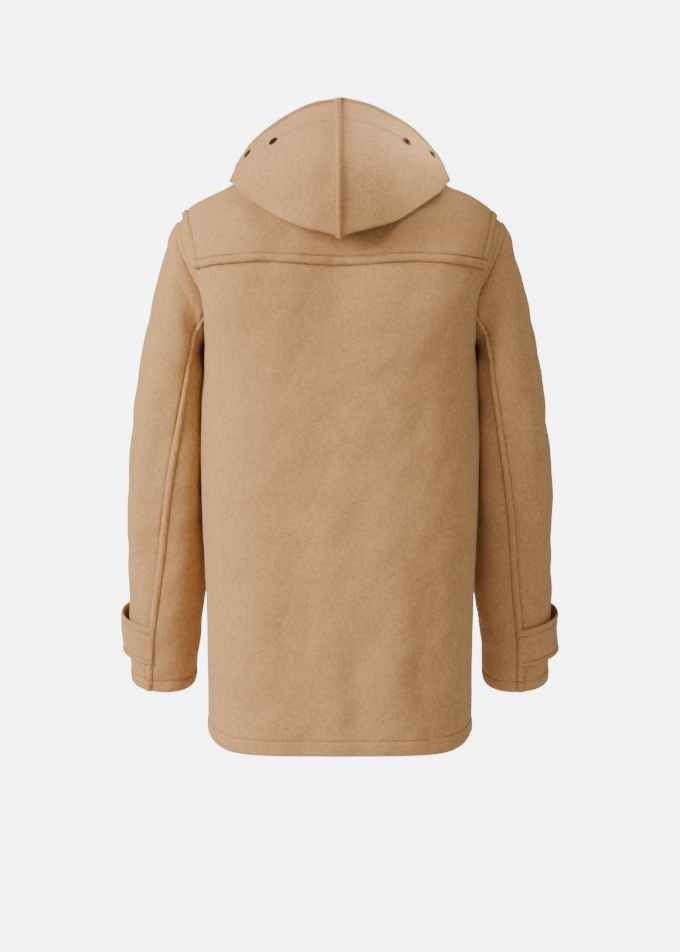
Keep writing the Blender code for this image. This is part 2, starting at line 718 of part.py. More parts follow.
SEAM_STRIP_CLEARANCE = 0.0006
SEAM_STRIP_THICKNESS = 0.0025


def neck_seam(place):
    """The panels' neck edge, facets and all: 0 at the back, 1 the neck point, 2 the throat."""
    face, share = (BACK, place) if place <= 1.0 else (FRONT, 2.0 - place)
    column = min(int(share * NECK_COLUMN), NECK_COLUMN - 1)
    return mix(NECK[face](column / NECK_COLUMN), NECK[face]((column + 1) / NECK_COLUMN),
               share * NECK_COLUMN - column)


def hood_profile(around):
    """The key points of the hood's outside, from the neck seam to the face edge."""
    def read(column):
        values = [getattr(station, column) for station in HOOD_STATIONS]
        if isinstance(values[0], tuple):
            values = [Vector(value) for value in values]
        return spline_at(values, around * (len(HOOD_STATIONS) - 1))

    up = Vector((0, 0, 1))
    seam = neck_seam(read("neck")) + up * HOOD_SEAM_GAP
    crest, fold, turn = read("crest"), read("fold"), read("turn")
    out = Vector((fold.x - crest.x, fold.y - crest.y, 0)).normalized()
    bag = (turn + 1) / 2
    to_crest, to_belly = (crest - fold).normalized(), (read("belly") - fold).normalized()
    fold_in = fold + mix(to_crest, up - out, bag) * HOOD_FOLD_RADIUS
    fold_out = fold + mix(to_belly, up + out, bag) * HOOD_FOLD_RADIUS
    under = mix(crest, fold_in, 0.5) + out * HOOD_UNDER_PLY_BOW
    return [seam, seam + up * HOOD_NECK_RISE, crest, under, fold_in, fold, fold_out,
            read("belly"), read("face")]


def hood_rows():
    """The places of the hood's rows along its profile, counted in key points."""
    places = [0.0]
    for key, rows in enumerate(HOOD_KEY_ROWS):
        places += [key + row / rows for row in range(1, rows + 1)]
    return places


PROFILES = {}


def hood_point(around, place, side):
    """A point of the hood's outside; around runs from the middle of the back to the throat."""
    key = round(abs(around), 6)
    if key not in PROFILES:
        PROFILES[key] = hood_profile(key)
    found = spline_at(PROFILES[key], place)
    return Vector((side * math.copysign(1.0, around) * found.x, found.y, found.z))


def hood_normal(around, place, side):
    """The direction straight out of the hood there."""
    round_it = hood_point(around + 0.01, place, side) - hood_point(around - 0.01, place, side)
    along = (hood_point(around, min(place + 0.1, len(HOOD_KEY_ROWS)), side)
             - hood_point(around, max(place - 0.1, 0.0), side))
    return (along.cross(round_it) * side).normalized()


def hood_pair(around, place, side):
    """The outside and the inside of the hood."""
    outside = hood_point(around, place, side)
    return outside, outside - hood_normal(around, place, side) * CLOTH


def make_hood_half(side, cloth, coat):
    """Half the hood, from the seam over its middle to the face edge at the throat."""
    rows = []
    for place in hood_rows():
        row = [hood_pair(around, place, side) for around in steps(HOOD_COLUMNS)]
        row[0] = tuple(found + Vector((side * SEAM, 0, 0)) for found in row[0])
        rows.append(row)
    grid_sheet(f"hood_{'left' if side == LEFT else 'right'}", rows, cloth, coat, outward=-side)


def make_seam_strip(cloth, coat):
    """The lapped seam over the middle of the hood, from near the neck to the face edge."""
    rows = []
    for place in hood_rows()[1:]:
        row = []
        for edge in (SEAM_STRIP_EDGES[0], 0.0, SEAM_STRIP_EDGES[1]):
            side = LEFT if edge >= 0 else RIGHT
            middle = hood_point(0.0, place, side)
            beside = hood_point(1.0 / HOOD_COLUMNS, place, side)
            spot = mix(middle, beside, edge / beside.x)
            out = hood_normal(0.5 / HOOD_COLUMNS if edge else 0.0, place, side)
            inner = spot + out * SEAM_STRIP_CLEARANCE
            row.append((inner + out * SEAM_STRIP_THICKNESS, inner))
        rows.append(row)
    grid_sheet("hood_seam_strip", rows, cloth, coat)


# ---------------------------------------------------------------- eyelets

# Where the eyelets are: round the hood, and up its outer ply counted in key points.
EYELETS = (("inner", 2.10, 7.53), ("outer", 3.15, 7.55))
EYELET_HOLE = 0.0075        # the hole in the cloth, across
EYELET_FLANGE = 0.0140
EYELET_METAL = 0.0006
EYELET_STAND_OFF = 0.0010   # the flat flanges clear the curved cloth
EYELET_PROFILE = (          # radius and height over the cloth's outside, down the outer side
    (EYELET_HOLE / 2 - GAP - 2 * EYELET_METAL, EYELET_STAND_OFF + EYELET_METAL * 2),
    (EYELET_FLANGE / 2 - EYELET_METAL, EYELET_STAND_OFF + EYELET_METAL * 1.6),
    (EYELET_FLANGE / 2, EYELET_STAND_OFF + EYELET_METAL * 0.5),
    (EYELET_FLANGE / 2 - EYELET_METAL, EYELET_STAND_OFF),
    (EYELET_HOLE / 2 - GAP, EYELET_STAND_OFF),
    (EYELET_HOLE / 2 - GAP, -CLOTH - EYELET_STAND_OFF),
    (EYELET_FLANGE / 2 - EYELET_METAL, -CLOTH - EYELET_STAND_OFF),
    (EYELET_FLANGE / 2 - EYELET_METAL, -CLOTH - EYELET_STAND_OFF - EYELET_METAL),
    (EYELET_HOLE / 2 - GAP - 2 * EYELET_METAL, -CLOTH - EYELET_STAND_OFF - EYELET_METAL),
)


def make_eyelets(side, brass, coat, cutters):
    """Two turned brass eyelets clenched through half the hood, and the holes for them."""
    name = "left" if side == LEFT else "right"
    hood = bpy.data.objects[f"hood_{name}"]
    for label, column, place in EYELETS:
        around = column / (len(HOOD_STATIONS) - 1)
        spot, out = hood_facet(around, place, side)
        turn = out.to_track_quat("Z", "Y").to_matrix().to_4x4()
        matrix = Matrix.Translation(spot) @ turn

        mesh = bpy.data.meshes.new(f"eyelet_{name}_{label}")
        count = len(EYELET_PROFILE)
        edges = [(index, (index + 1) % count) for index in range(count)]
        mesh.from_pydata([(radius, 0, height) for radius, height in EYELET_PROFILE], edges, [])
        eyelet = add_object(f"eyelet_{name}_{label}", mesh, brass, coat)
        eyelet.matrix_world = matrix
        turned = eyelet.modifiers.new("turned", "SCREW")
        turned.steps = turned.render_steps = 16
        turned.use_merge_vertices = True
        turned.merge_threshold = 0.00001

        bpy.ops.mesh.primitive_cylinder_add(vertices=16, radius=EYELET_HOLE / 2, depth=0.02)
        punch = take_active(f"punch_{name}_{label}", brass, cutters)
        punch.matrix_world = matrix
        punch.hide_render = True
        punch.display_type = "WIRE"
        hole = hood.modifiers.new(f"{label} hole", "BOOLEAN")
        hole.object = punch


def hood_facet(around, place, side):
    """A spot on the faceted hood and the direction out of the cloth there."""
    columns = around * HOOD_COLUMNS
    column = int(columns)
    rows = hood_rows()
    row = max(index for index, start in enumerate(rows) if start <= place)
    up_share = (place - rows[row]) / (rows[row + 1] - rows[row])
    corners = [[hood_point((column + across) / HOOD_COLUMNS, rows[row + up], side)
                for across in (0, 1)] for up in (0, 1)]
    spot = mix(mix(corners[0][0], corners[0][1], columns - column),
               mix(corners[1][0], corners[1][1], columns - column), up_share)
    out = (corners[1][0] - corners[0][1]).cross(corners[1][1] - corners[0][0]).normalized() * side
    return spot, out


# ---------------------------------------------------------------- toggles

CLOSURE_HEIGHTS = (-0.185, -0.315, -0.445, -0.575)
TOGGLE_LENGTH = 0.062
TOGGLE_RADIUS = 0.0075
TOGGLE_END_RADIUS = 0.0040
TOGGLE_X = -0.004
CORD_RADIUS = 0.0025
PATCH_WIDTH = 0.045
PATCH_HEIGHT = 0.030
PATCH_THICKNESS = 0.002
PATCH_LEFT_X = 0.070        # middles of the leather patches
PATCH_RIGHT_X = -0.092
LOOP_END_X = -0.017
LOOP_HALF_HEIGHT = 0.0105
STRAND_HALF_HEIGHT = 0.005  # the toggle's own cord: two strands, one over the other
ON_CLOTH = CORD_RADIUS + 3 * GAP
TOGGLE_OUT = ON_CLOTH + CORD_RADIUS + TOGGLE_RADIUS + 3 * GAP


def front_place(x, height, out):
    """A point that stands off the fronts, at a distance to the wearer's left and a height."""
    across, level = 0.0, 0.5
    for _ in range(12):
        found = body_point(across, level, FRONT)
        across += (x - found.x) / 0.30
        level += (height - found.z) / 0.54
    return on_body(across, level, FRONT, out)


def make_patch(name, middle_x, height, leather, coat):
    """A leather patch, curved with the front that it is sewn on."""
    rows = []
    for up in steps(2, -PATCH_HEIGHT / 2, PATCH_HEIGHT / 2):
        rows.append([(front_place(middle_x + across, height + up, PATCH_THICKNESS + 4 * GAP),
                      front_place(middle_x + across, height + up, 4 * GAP))
                     for across in steps(3, -PATCH_WIDTH / 2, PATCH_WIDTH / 2)])
    grid_sheet(name, rows, leather, coat)


def make_cord(name, points, stuff, coat):
    """A round cord along a route, as a curve with a round bevel."""
    curve = bpy.data.curves.new(name, "CURVE")
    curve.dimensions = "3D"
    curve.bevel_depth = CORD_RADIUS
    curve.bevel_resolution = 2
    curve.use_fill_caps = True
    spline = curve.splines.new("POLY")
    spline.points.add(len(points) - 1)
    for index, place in enumerate(points):
        spline.points[index].co = (*place, 1.0)
    add_object(name, curve, stuff, coat)


def hairpin(half_height, start_x, end_x):
    """x and height of a cord that goes out, turns back in a half circle and returns."""
    centre_x = end_x + math.copysign(half_height, start_x - end_x)
    route = [(x, half_height) for x in steps(4, start_x, centre_x)]
    for step in range(1, 8):
        angle = math.radians(180.0) * step / 8
        route.append((centre_x + (end_x - centre_x) * math.sin(angle), half_height * math.cos(angle)))
    return route + [(x, -half_height) for x in steps(4, centre_x, start_x)]


def make_closure(number, height, stuffs, coat):
    """One toggle closure: two patches, the loop, and the toggle on its own cord."""
    horn, leather, cord = stuffs
    make_patch(f"patch_left_{number}", PATCH_LEFT_X, height, leather, coat)
    make_patch(f"patch_right_{number}", PATCH_RIGHT_X, height, leather, coat)

    start = PATCH_LEFT_X - PATCH_WIDTH / 2 - 2 * GAP
    route = hairpin(LOOP_HALF_HEIGHT, start, LOOP_END_X)
    make_cord(f"loop_{number}", [front_place(x, height + up, ON_CLOTH) for x, up in route],
              cord, coat)

    start = PATCH_RIGHT_X + PATCH_WIDTH / 2 + 2 * GAP
    toggle_side = TOGGLE_X - TOGGLE_RADIUS - CORD_RADIUS - 2 * GAP
    lift = smooth_curve([(start, 0, ON_CLOTH), (-0.050, 0, ON_CLOTH), (-0.036, 0, 0.0085),
                         (-0.024, 0, TOGGLE_OUT), (toggle_side, 0, TOGGLE_OUT)])
    out_run = [lift(share) for share in steps(8)]
    route = [(spot.x, STRAND_HALF_HEIGHT, spot.z) for spot in out_run]
    route += [(toggle_side + 0.0003, 0.0, TOGGLE_OUT)]
    route += [(spot.x, -STRAND_HALF_HEIGHT, spot.z) for spot in reversed(out_run)]
    make_cord(f"toggle_cord_{number}",
              [front_place(x, height + up, out) for x, up, out in route], cord, coat)

    half = TOGGLE_LENGTH / 2
    profile = [(0.0, half), (TOGGLE_END_RADIUS * 0.7, half - 0.0006), (TOGGLE_END_RADIUS, half - 0.002),
               (TOGGLE_RADIUS * 0.86, half * 0.5), (TOGGLE_RADIUS, 0.0),
               (TOGGLE_RADIUS * 0.86, -half * 0.5), (TOGGLE_END_RADIUS, -half + 0.002),
               (TOGGLE_END_RADIUS * 0.7, -half + 0.0006), (0.0, -half)]
    mesh = bpy.data.meshes.new(f"toggle_{number}")
    mesh.from_pydata([(radius, 0, z) for radius, z in profile],
                     [(index, index + 1) for index in range(len(profile) - 1)], [])
    toggle = add_object(f"toggle_{number}", mesh, horn, coat)
    toggle.location = front_place(TOGGLE_X, height, TOGGLE_OUT)
    up = (front_place(TOGGLE_X, height + half, 0.0) - front_place(TOGGLE_X, height - half, 0.0))
    toggle.rotation_euler = up.to_track_quat("Z", "Y").to_euler()
    turned = toggle.modifiers.new("turned", "SCREW")
    turned.steps = turned.render_steps = 12
    turned.use_merge_vertices = True
    turned.merge_threshold = 0.00001


# ---------------------------------------------------------------- build

def clear_scene():
    """Remove what a new file holds."""
    for old in list(bpy.data.objects):
        bpy.data.objects.remove(old, do_unlink=True)


def main():
    """Make every piece of the coat."""
    clear_scene()
    coat = bpy.data.collections.new("duffle_coat")
    cutters = bpy.data.collections.new("cutters")
    bpy.context.scene.collection.children.link(coat)
    bpy.context.scene.collection.children.link(cutters)
    cloth = material("camel melton", (0.50, 0.33, 0.19), 0.95)
    make_back(cloth, coat)
    make_fronts(cloth, coat)
    make_yoke(cloth, coat)
    horn = material("horn", (0.12, 0.07, 0.035), 0.35)
    brass = material("antique brass", (0.10, 0.075, 0.045), 0.45, 1.0)
    leather = material("brown leather", (0.09, 0.045, 0.02), 0.6)
    cord = material("waxed cord", (0.20, 0.13, 0.07), 0.8)
    for side in (LEFT, RIGHT):
        make_sleeve(side, cloth, coat)
        make_cuff_strap(side, cloth, horn, coat)
        make_hood_half(side, cloth, coat)
        make_eyelets(side, brass, coat, cutters)
    make_seam_strip(cloth, coat)
    for number, height in enumerate(CLOSURE_HEIGHTS, start=1):
        make_closure(number, height, (horn, leather, cord), coat)


main()
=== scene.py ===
"""A duffle coat of camel melton, hood laid back, as it stands when it is worn.

Metres, +Z up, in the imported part's frame: the origin is the middle of the neck, the back of the
coat faces +Y and the wearer's left is +X.  Every piece of cloth is one closed sheet, a grid of
points on the coat's form that its folds, turned edges and stitching move in and out.
"""

import json
import math

import bpy
import numpy as np
from mathutils import Matrix, Vector
from mathutils.bvhtree import BVHTree

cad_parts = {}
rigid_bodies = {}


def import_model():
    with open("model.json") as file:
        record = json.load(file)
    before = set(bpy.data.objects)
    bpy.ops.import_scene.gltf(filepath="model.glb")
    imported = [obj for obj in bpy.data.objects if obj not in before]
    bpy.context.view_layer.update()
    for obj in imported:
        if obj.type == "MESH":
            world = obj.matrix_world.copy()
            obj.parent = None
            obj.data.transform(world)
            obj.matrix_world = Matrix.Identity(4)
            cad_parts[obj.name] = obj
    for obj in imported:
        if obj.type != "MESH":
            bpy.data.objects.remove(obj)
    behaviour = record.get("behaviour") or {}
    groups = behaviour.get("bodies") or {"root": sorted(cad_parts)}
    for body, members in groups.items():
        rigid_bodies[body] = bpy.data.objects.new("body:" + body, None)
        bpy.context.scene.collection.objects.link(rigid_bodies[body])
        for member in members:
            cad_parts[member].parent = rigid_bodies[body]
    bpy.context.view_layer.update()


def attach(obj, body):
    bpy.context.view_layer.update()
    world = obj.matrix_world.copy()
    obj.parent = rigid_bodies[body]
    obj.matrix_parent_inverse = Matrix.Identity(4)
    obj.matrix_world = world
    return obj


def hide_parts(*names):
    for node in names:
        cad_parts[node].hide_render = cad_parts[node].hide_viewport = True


for old in list(bpy.data.objects):
    bpy.data.objects.remove(old)

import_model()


# ---------------------------------------------------------------- back
# The back is one panel of 3 mm camel melton, a woollen cloth milled until its weave is closed.
# It runs from the turned and stitched hem to the neck and shoulder seams, with no centre seam.

BACK, FRONT = 1, -1
LEFT, RIGHT = 1, -1
HANDS = {LEFT: "left", RIGHT: "right"}
CLOTH = 0.003
SPACING = 0.0042            # between the rows and columns of a sheet's points

CHEST_LINE = -0.285
BODY_ROUNDNESS = 2.9
HEM_LIFT_POWER = 10
BODY_RINGS = (              # middle height, side height, half width, back depth, front depth
    (-0.8265, -0.804, 0.1880, 0.131, 0.130),
    (-0.760, -0.752, 0.1878, 0.130, 0.130),
    (-0.600, -0.600, 0.1905, 0.127, 0.130),
    (-0.500, -0.500, 0.1950, 0.123, 0.128),
    (-0.420, -0.420, 0.1970, 0.121, 0.128),
    (-0.345, -0.345, 0.1968, 0.123, 0.131),
    (CHEST_LINE, CHEST_LINE, 0.1945, 0.126, 0.134))

NECK_HALF_WIDTH = 0.085
NECK_SIDE_HEIGHT = 0.010
NECK_DEPTH = {BACK: 0.072, FRONT: 0.085}
NECK_MIDDLE = {BACK: 0.0, FRONT: -0.075}
NECK_SHARE = 0.375          # share across at which the neck seam meets the shoulder seam

ARMHOLE_EDGES = {
    BACK: ((0.1925, 0.000, -0.2450), (0.1912, 0.034, -0.2390), (0.1900, 0.056, -0.2150),
           (0.1912, 0.062, -0.1880), (0.2035, 0.063, -0.1685), (0.2132, 0.061, -0.1500),
           (0.2275, 0.050, -0.1207), (0.2372, 0.022, -0.0870), (0.2385, -0.004, -0.0800)),
    FRONT: ((0.1925, 0.000, -0.2450), (0.1912, -0.034, -0.2395), (0.1875, -0.058, -0.2180),
            (0.1872, -0.067, -0.1900), (0.1960, -0.068, -0.1650), (0.2090, -0.064, -0.1440),
            (0.2250, -0.052, -0.1180), (0.2365, -0.027, -0.0870), (0.2385, -0.004, -0.0800))}
SHOULDER_SEAM = ((0.085, 0.000, 0.010), (0.157, -0.001, -0.0280), (0.210, -0.003, -0.0575),
                 (0.2385, -0.004, -0.0800))
CENTRE_LINES = {
    BACK: ((0, 0.1260, -0.285), (0, 0.1255, -0.200), (0, 0.1200, -0.145),
           (0, 0.1085, -0.090), (0, 0.0910, -0.040), (0, 0.0720, 0.0)),
    FRONT: ((0, -0.1340, -0.285), (0, -0.1320, -0.220), (0, -0.1200, -0.160),
            (0, -0.1030, -0.115), (0, -0.0850, -0.075))}
UNDERARM_LEVEL = 1.1
SHOULDER_PACE = 1.46
ARMHOLE_PACE = 0.672
LEVEL_PEAK = -0.020

EDGE_ROUNDNESS = 0.46       # radius of a cut edge, as a share of the cloth's thickness
EDGE_PUFF = 0.0011          # how far a turned edge swells
EDGE_FURROW = 0.0010        # how deep a row of stitches draws the cloth in
FURROW_WIDTH = 0.0014
SLACK = 0.00045
PANEL_MIDDLE_PART = 0.10    # half width of the part of a panel that its side seams don't hold
EASED_LEVELS = (0.72, 1.46)         # from below the chest line to the armholes
EASED_FADE = (0.14, 0.16)
EASING = 0.6
EASING_ROUNDS = 150
SEAM_HOLD = 0.030           # how far a seam keeps the cloth beside it still


def ease(share):
    """0 to 1, starting and ending gently."""
    share = np.clip(share, 0.0, 1.0)
    return share * share * (3.0 - 2.0 * share)


def reach_along(line):
    """The distance along a line of points, at each of them."""
    return np.concatenate(([0.0], np.cumsum(np.linalg.norm(np.diff(line, axis=0), axis=1))))


def by_length(dense):
    """The line through close points, as a function of the share of its length."""
    reach = reach_along(dense)

    def at(share):
        wanted = np.clip(share, 0.0, 1.0) * reach[-1]
        return np.stack([np.interp(wanted, reach, dense[:, axis]) for axis in range(3)], axis=-1)

    at.length = reach[-1]
    return at


def smooth_curve(keys):
    """A smooth curve through points, as a function of the share of its length."""
    keys = np.array(keys, float)
    ends = np.vstack((2 * keys[0] - keys[1], keys, 2 * keys[-1] - keys[-2]))
    t = np.linspace(0, 1, 33)[1:, None]
    dense = [keys[:1]]
    for before, start, end, after in zip(ends, ends[1:], ends[2:], ends[3:]):
        span = np.linalg.norm(end - start)
        leave = (end - before) * span / max(np.linalg.norm(end - before), span)
        arrive = (after - start) * span / max(np.linalg.norm(after - start), span)
        dense.append(start * (1 + 2 * t) * (1 - t) ** 2 + end * (3 - 2 * t) * t ** 2
                     + leave * t * (1 - t) ** 2 - arrive * t ** 2 * (1 - t))
    return by_length(np.vstack(dense))


def spline_at(values, place):
    """Rows of a table read smoothly at a place, or many, counted in rows."""
    values = np.array(values, float)
    place = np.clip(np.asarray(place, float), 0, len(values) - 1)
    index = np.minimum(place.astype(int), len(values) - 2)
    before, after = np.maximum(index - 1, 0), np.minimum(index + 2, len(values) - 1)
    spread = [np.asarray(array, float)[..., None] if values.ndim > 1 else array
              for array in (place - index, index + 1 - before, after - index)]
    t, low_span, high_span = spread
    start, end = values[index], values[index + 1]
    leave = (end - values[before]) / low_span
    arrive = (values[after] - start) / high_span
    return (start * (1 + 2 * t) * (1 - t) ** 2 + end * (3 - 2 * t) * t ** 2
            + leave * t * (1 - t) ** 2 - arrive * t ** 2 * (1 - t))


def neck_line(face):
    """Half of the neck seam, from the middle to the neck point."""
    angle = np.linspace(0, math.pi / 2, 49)
    rise = 1 - np.clip(np.cos(angle), 0, 1) ** 1.4
    return by_length(np.stack((NECK_HALF_WIDTH * np.sin(angle),
                               face * NECK_DEPTH[face] * np.cos(angle),
                               NECK_MIDDLE[face] + (NECK_SIDE_HEIGHT - NECK_MIDDLE[face]) * rise),
                              axis=-1))


SHOULDER = smooth_curve(SHOULDER_SEAM)
NECK = {face: neck_line(face) for face in (BACK, FRONT)}
CENTRE = {face: smooth_curve(CENTRE_LINES[face]) for face in (BACK, FRONT)}
ARMHOLE = {face: smooth_curve(ARMHOLE_EDGES[face]) for face in (BACK, FRONT)}


def body_ring(level, face):
    """Half of a ring of the body at a level from 0, the hem, to 1, the chest line."""
    place = level * (len(BODY_RINGS) - 1)
    middle, side, half_width, back_depth, front_depth = spline_at(BODY_RINGS, place)
    depth = back_depth if face == BACK else front_depth
    angle = np.linspace(0, math.pi / 2, 241)
    out = np.sin(angle) ** (2 / BODY_ROUNDNESS)
    deep = np.clip(np.cos(angle), 0, 1) ** (2 / BODY_ROUNDNESS)
    return by_length(np.stack((half_width * out, face * depth * deep,
                               middle + (side - middle) * out ** HEM_LIFT_POWER), axis=-1))


CHEST_RING = {face: body_ring(1.0, face) for face in (BACK, FRONT)}


def top_edge(share, face):
    """The neck seam, then the shoulder seam."""
    on_neck = (share < NECK_SHARE)[:, None]
    return np.where(on_neck, NECK[face](share / NECK_SHARE),
                    SHOULDER((share - NECK_SHARE) / (1 - NECK_SHARE)))


def side_edge(level, face):
    """The last of the side seam, then the armhole."""
    if level < UNDERARM_LEVEL:
        chest, underarm = CHEST_RING[face](1.0), np.array(ARMHOLE_EDGES[BACK][0])
        return chest + (underarm - chest) * (level - 1.0) / (UNDERARM_LEVEL - 1.0)
    share = (level - UNDERARM_LEVEL) / (2.0 - UNDERARM_LEVEL)
    return ARMHOLE[face](share ** ARMHOLE_PACE)


def arch(share, rise, face):
    """A row above the chest line, before it is fitted to the centre line and the armhole."""
    foot, top = CHEST_RING[face](share), top_edge(share, face)
    turn = math.pi / 2 * rise ** SHOULDER_PACE
    peak = LEVEL_PEAK + (top[:, 2] - LEVEL_PEAK) * ease(rise)
    return np.stack((foot[:, 0] + (top[:, 0] - foot[:, 0]) * (1 - math.cos(turn)),
                     top[:, 1] + (foot[:, 1] - top[:, 1]) * math.cos(turn),
                     foot[:, 2] + (peak - foot[:, 2]) * math.sin(turn)), axis=-1)


def body_row(across, level, face):
    """A row of points of the body: across is 0 at the middle and 1 at the side or armhole."""
    share = np.minimum(np.abs(across), 1.0)
    if level <= 1.0:
        row = body_ring(level, face)(share)
    else:
        rise = level - 1.0
        middle, side = arch(np.array([0.0, 1.0]), rise, face)
        row = (arch(share, rise, face)
               + (CENTRE[face](rise) - middle) * ((1 - share) ** 1.5)[:, None]
               + (side_edge(level, face) - side) * (share ** 1.2)[:, None])
    row[:, 0] *= np.where(across < 0, -1, 1)
    return row


def body_grid(across, levels, face):
    """Rows of points of the body's form, from the hem up."""
    return np.stack([body_row(np.asarray(across, float), level, face) for level in levels])


def places(length, start_marks=(), end_marks=(), step=SPACING):
    """Places along a length, even but close together at both ends and beside rows of stitches."""
    ends = np.array((0, 0.0004, 0.0010, 0.0018, 0.0030))
    beside = np.array((-0.0024, -0.0015, -0.0008, 0, 0.0008, 0.0015, 0.0024))
    special = np.concatenate([ends, length - ends] + [mark + beside for mark in start_marks]
                             + [length - mark + beside for mark in end_marks])
    even = np.arange(step, length - step / 2, step)
    even = even[np.abs(even[:, None] - special[None, :]).min(axis=1) > step * 0.45]
    found = np.unique(np.round(np.concatenate((special, even)), 6))
    keep = np.concatenate(([True], np.diff(found) > 0.0003))
    return found[keep]


def body_levels(face, low=0.0, high=2.0, start_marks=(), end_marks=()):
    """Levels of a panel's rows, a set distance apart on the cloth."""
    dense = np.linspace(low, high, 200)
    line = np.concatenate([body_row(np.array([0.55]), level, face) for level in dense])
    reach = reach_along(line)
    return np.interp(places(reach[-1], start_marks, end_marks), reach, dense)


def soften(grid, rounds):
    """The grid with its creases eased, its edges kept."""
    grid = grid.copy()
    for _ in range(rounds):
        inner = (grid[:-2, 1:-1] + grid[2:, 1:-1] + grid[1:-1, :-2] + grid[1:-1, 2:]) / 4
        grid[1:-1, 1:-1] += (inner - grid[1:-1, 1:-1]) * 0.6
    return grid


def from_side_seam(grid):
    """Distances over a panel from its side seam, or a metre in its middle part."""
    side = np.minimum(*edge_reach(grid)[2:])
    return np.where(np.abs(grid[..., 0]) > PANEL_MIDDLE_PART, side, 1.0)


def eased_chest(grid, levels):
    """The grid with no bend at the chest line, where the body starts to arch to the shoulders."""
    grid = grid.copy()
    (start, end), (fade_in, fade_out) = EASED_LEVELS, EASED_FADE
    weight = EASING * ease((levels - start) / fade_in) * ease((end - levels) / fade_out)
    weight = (weight[:, None] * ease(from_side_seam(grid) / SEAM_HOLD))[1:-1, :, None]
    for _ in range(EASING_ROUNDS):
        grid[1:-1] += ((grid[:-2] + grid[2:]) / 2 - grid[1:-1]) * weight
    return grid


def facing(grid, outward):
    """The directions straight out of the cloth; outward is -1 where the grid runs the other way."""
    down, along = np.gradient(grid, axis=0), np.gradient(grid, axis=1)
    normal = np.cross(along, down) * outward
    return normal / np.maximum(np.linalg.norm(normal, axis=2, keepdims=True), 1e-12)


def edge_reach(grid):
    """Distances over the cloth from the first row, last row, first column and last column."""
    down = np.cumsum(np.linalg.norm(np.diff(grid, axis=0, prepend=grid[:1]), axis=2), axis=0)
    along = np.cumsum(np.linalg.norm(np.diff(grid, axis=1, prepend=grid[:, :1]), axis=2), axis=1)
    return down, down[-1:] - down, along, along[:, -1:] - along


def rounding(distance, radius):
    """How far the face of the cloth has fallen away this near its edge."""
    near = np.clip(1 - distance / radius, 0, 1)
    return radius * (1 - np.sqrt(1 - near * near))


def wander(along, seed):
    """Slow uneven change along a seam, from -1 to 1."""
    return (np.sin(along * 210 + seed * 1.7) + np.sin(along * 347 + seed * 2.9)
            + np.sin(along * 92 + seed * 4.1)) / 3


def turned_edge(distance, along, band, puff=EDGE_PUFF, furrow=EDGE_FURROW, seed=1.0):
    """A turned edge: puffed between the edge and its row of stitches, drawn in at the stitches."""
    swell = np.sin(math.pi * np.clip(distance / band, 0, 1)) ** 0.8
    drawn = np.exp(-((distance - band) / FURROW_WIDTH) ** 2)
    return (puff * swell * (1 + 0.35 * wander(along, seed))
            - furrow * drawn * (1 + 0.30 * wander(along, seed + 3)))


def folds(across, up, table):
    """Soft ridges and troughs along lines: each row is start, end, half width, height and bow."""
    total = np.zeros_like(across)
    for (x0, z0), (x1, z1), width, height, bow in table:
        run = math.hypot(x1 - x0, z1 - z0)
        way_x, way_z = (x1 - x0) / run, (z1 - z0) / run
        along = ((across - x0) * way_x + (up - z0) * way_z) / run
        off = (across - x0) * way_z - (up - z0) * way_x - bow * 4 * along * (1 - along)
        ends = ease((along + 0.18) / 0.40) * ease((1.18 - along) / 0.40)
        uneven = 1 + 0.16 * np.sin(along * 6.3 + x0 * 90) + 0.08 * np.sin(along * 12.1 + z0 * 50)
        total += height * uneven * ends * np.exp(-(off / (width * (0.85 + 0.3 * along))) ** 2)
    return total


def slack(grid, seed):
    """The slight unevenness of cloth that hangs: half a millimetre in and out, over a hand's width."""
    x, y, z = (grid[..., axis] for axis in range(3))
    waves = ((61, 23, 34, 0.3), (38, 51, 71, 1.9), (97, 35, 22, 4.2), (29, 84, 118, 2.2),
             (140, 60, 95, 5.1))
    total = sum(np.sin(x * a + y * b + z * c + phase + seed * (index + 1.3))
                / (1 + 0.35 * index) for index, (a, b, c, phase) in enumerate(waves))
    return total * SLACK


def ride_along(name, mesh, node_names=()):
    """A piece of the coat from its mesh and for its CAD nodes."""
    piece = bpy.data.objects.new(name, mesh)
    bpy.context.scene.collection.objects.link(piece)
    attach(piece, "root")
    if node_names:
        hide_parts(*node_names)
    return piece


def smooth_piece(name, points, faces, stuff, node_names=()):
    """A smooth piece of the coat from its points and faces."""
    mesh = bpy.data.meshes.new(name)
    mesh.from_pydata(points, [], faces)
    mesh.materials.append(stuff)
    mesh.shade_smooth()
    return ride_along(name, mesh, node_names)


def closed_wall(name, outside, inside, quads, stuff, node_names):
    """A thin piece from its two faces, with a rim round every free edge."""
    count = len(outside)
    edges = np.concatenate([quads[:, [corner, (corner + 1) % 4]] for corner in range(4)])
    _, first, uses = np.unique(np.sort(edges, axis=1), axis=0, return_index=True,
                               return_counts=True)
    start, end = edges[first[uses == 1]].T
    faces = np.concatenate((quads, quads[:, ::-1] + count,
                            np.stack((end, start, start + count, end + count), axis=1)))
    return smooth_piece(name, np.concatenate((outside, inside)).tolist(), faces.tolist(), stuff,
                        node_names)


def closed_sheet(name, outside, inside, quads, stuff, node_names):
    """One piece of cloth, built as a closed wall."""
    piece = closed_wall(f"{name}_cloth", outside, inside, quads, stuff, node_names)


def index_quads(index, outward):
    """The quads between the numbered points of a grid, facing outwards."""
    quads = np.stack((index[:-1, :-1], index[:-1, 1:], index[1:, 1:], index[1:, :-1]),
                     axis=-1).reshape(-1, 4)
    return quads if outward > 0 else quads[:, ::-1]


def grid_quads(rows, columns, outward):
    """The quads of a grid of points, facing outwards."""
    return index_quads(np.arange(rows * columns).reshape(rows, columns), outward)


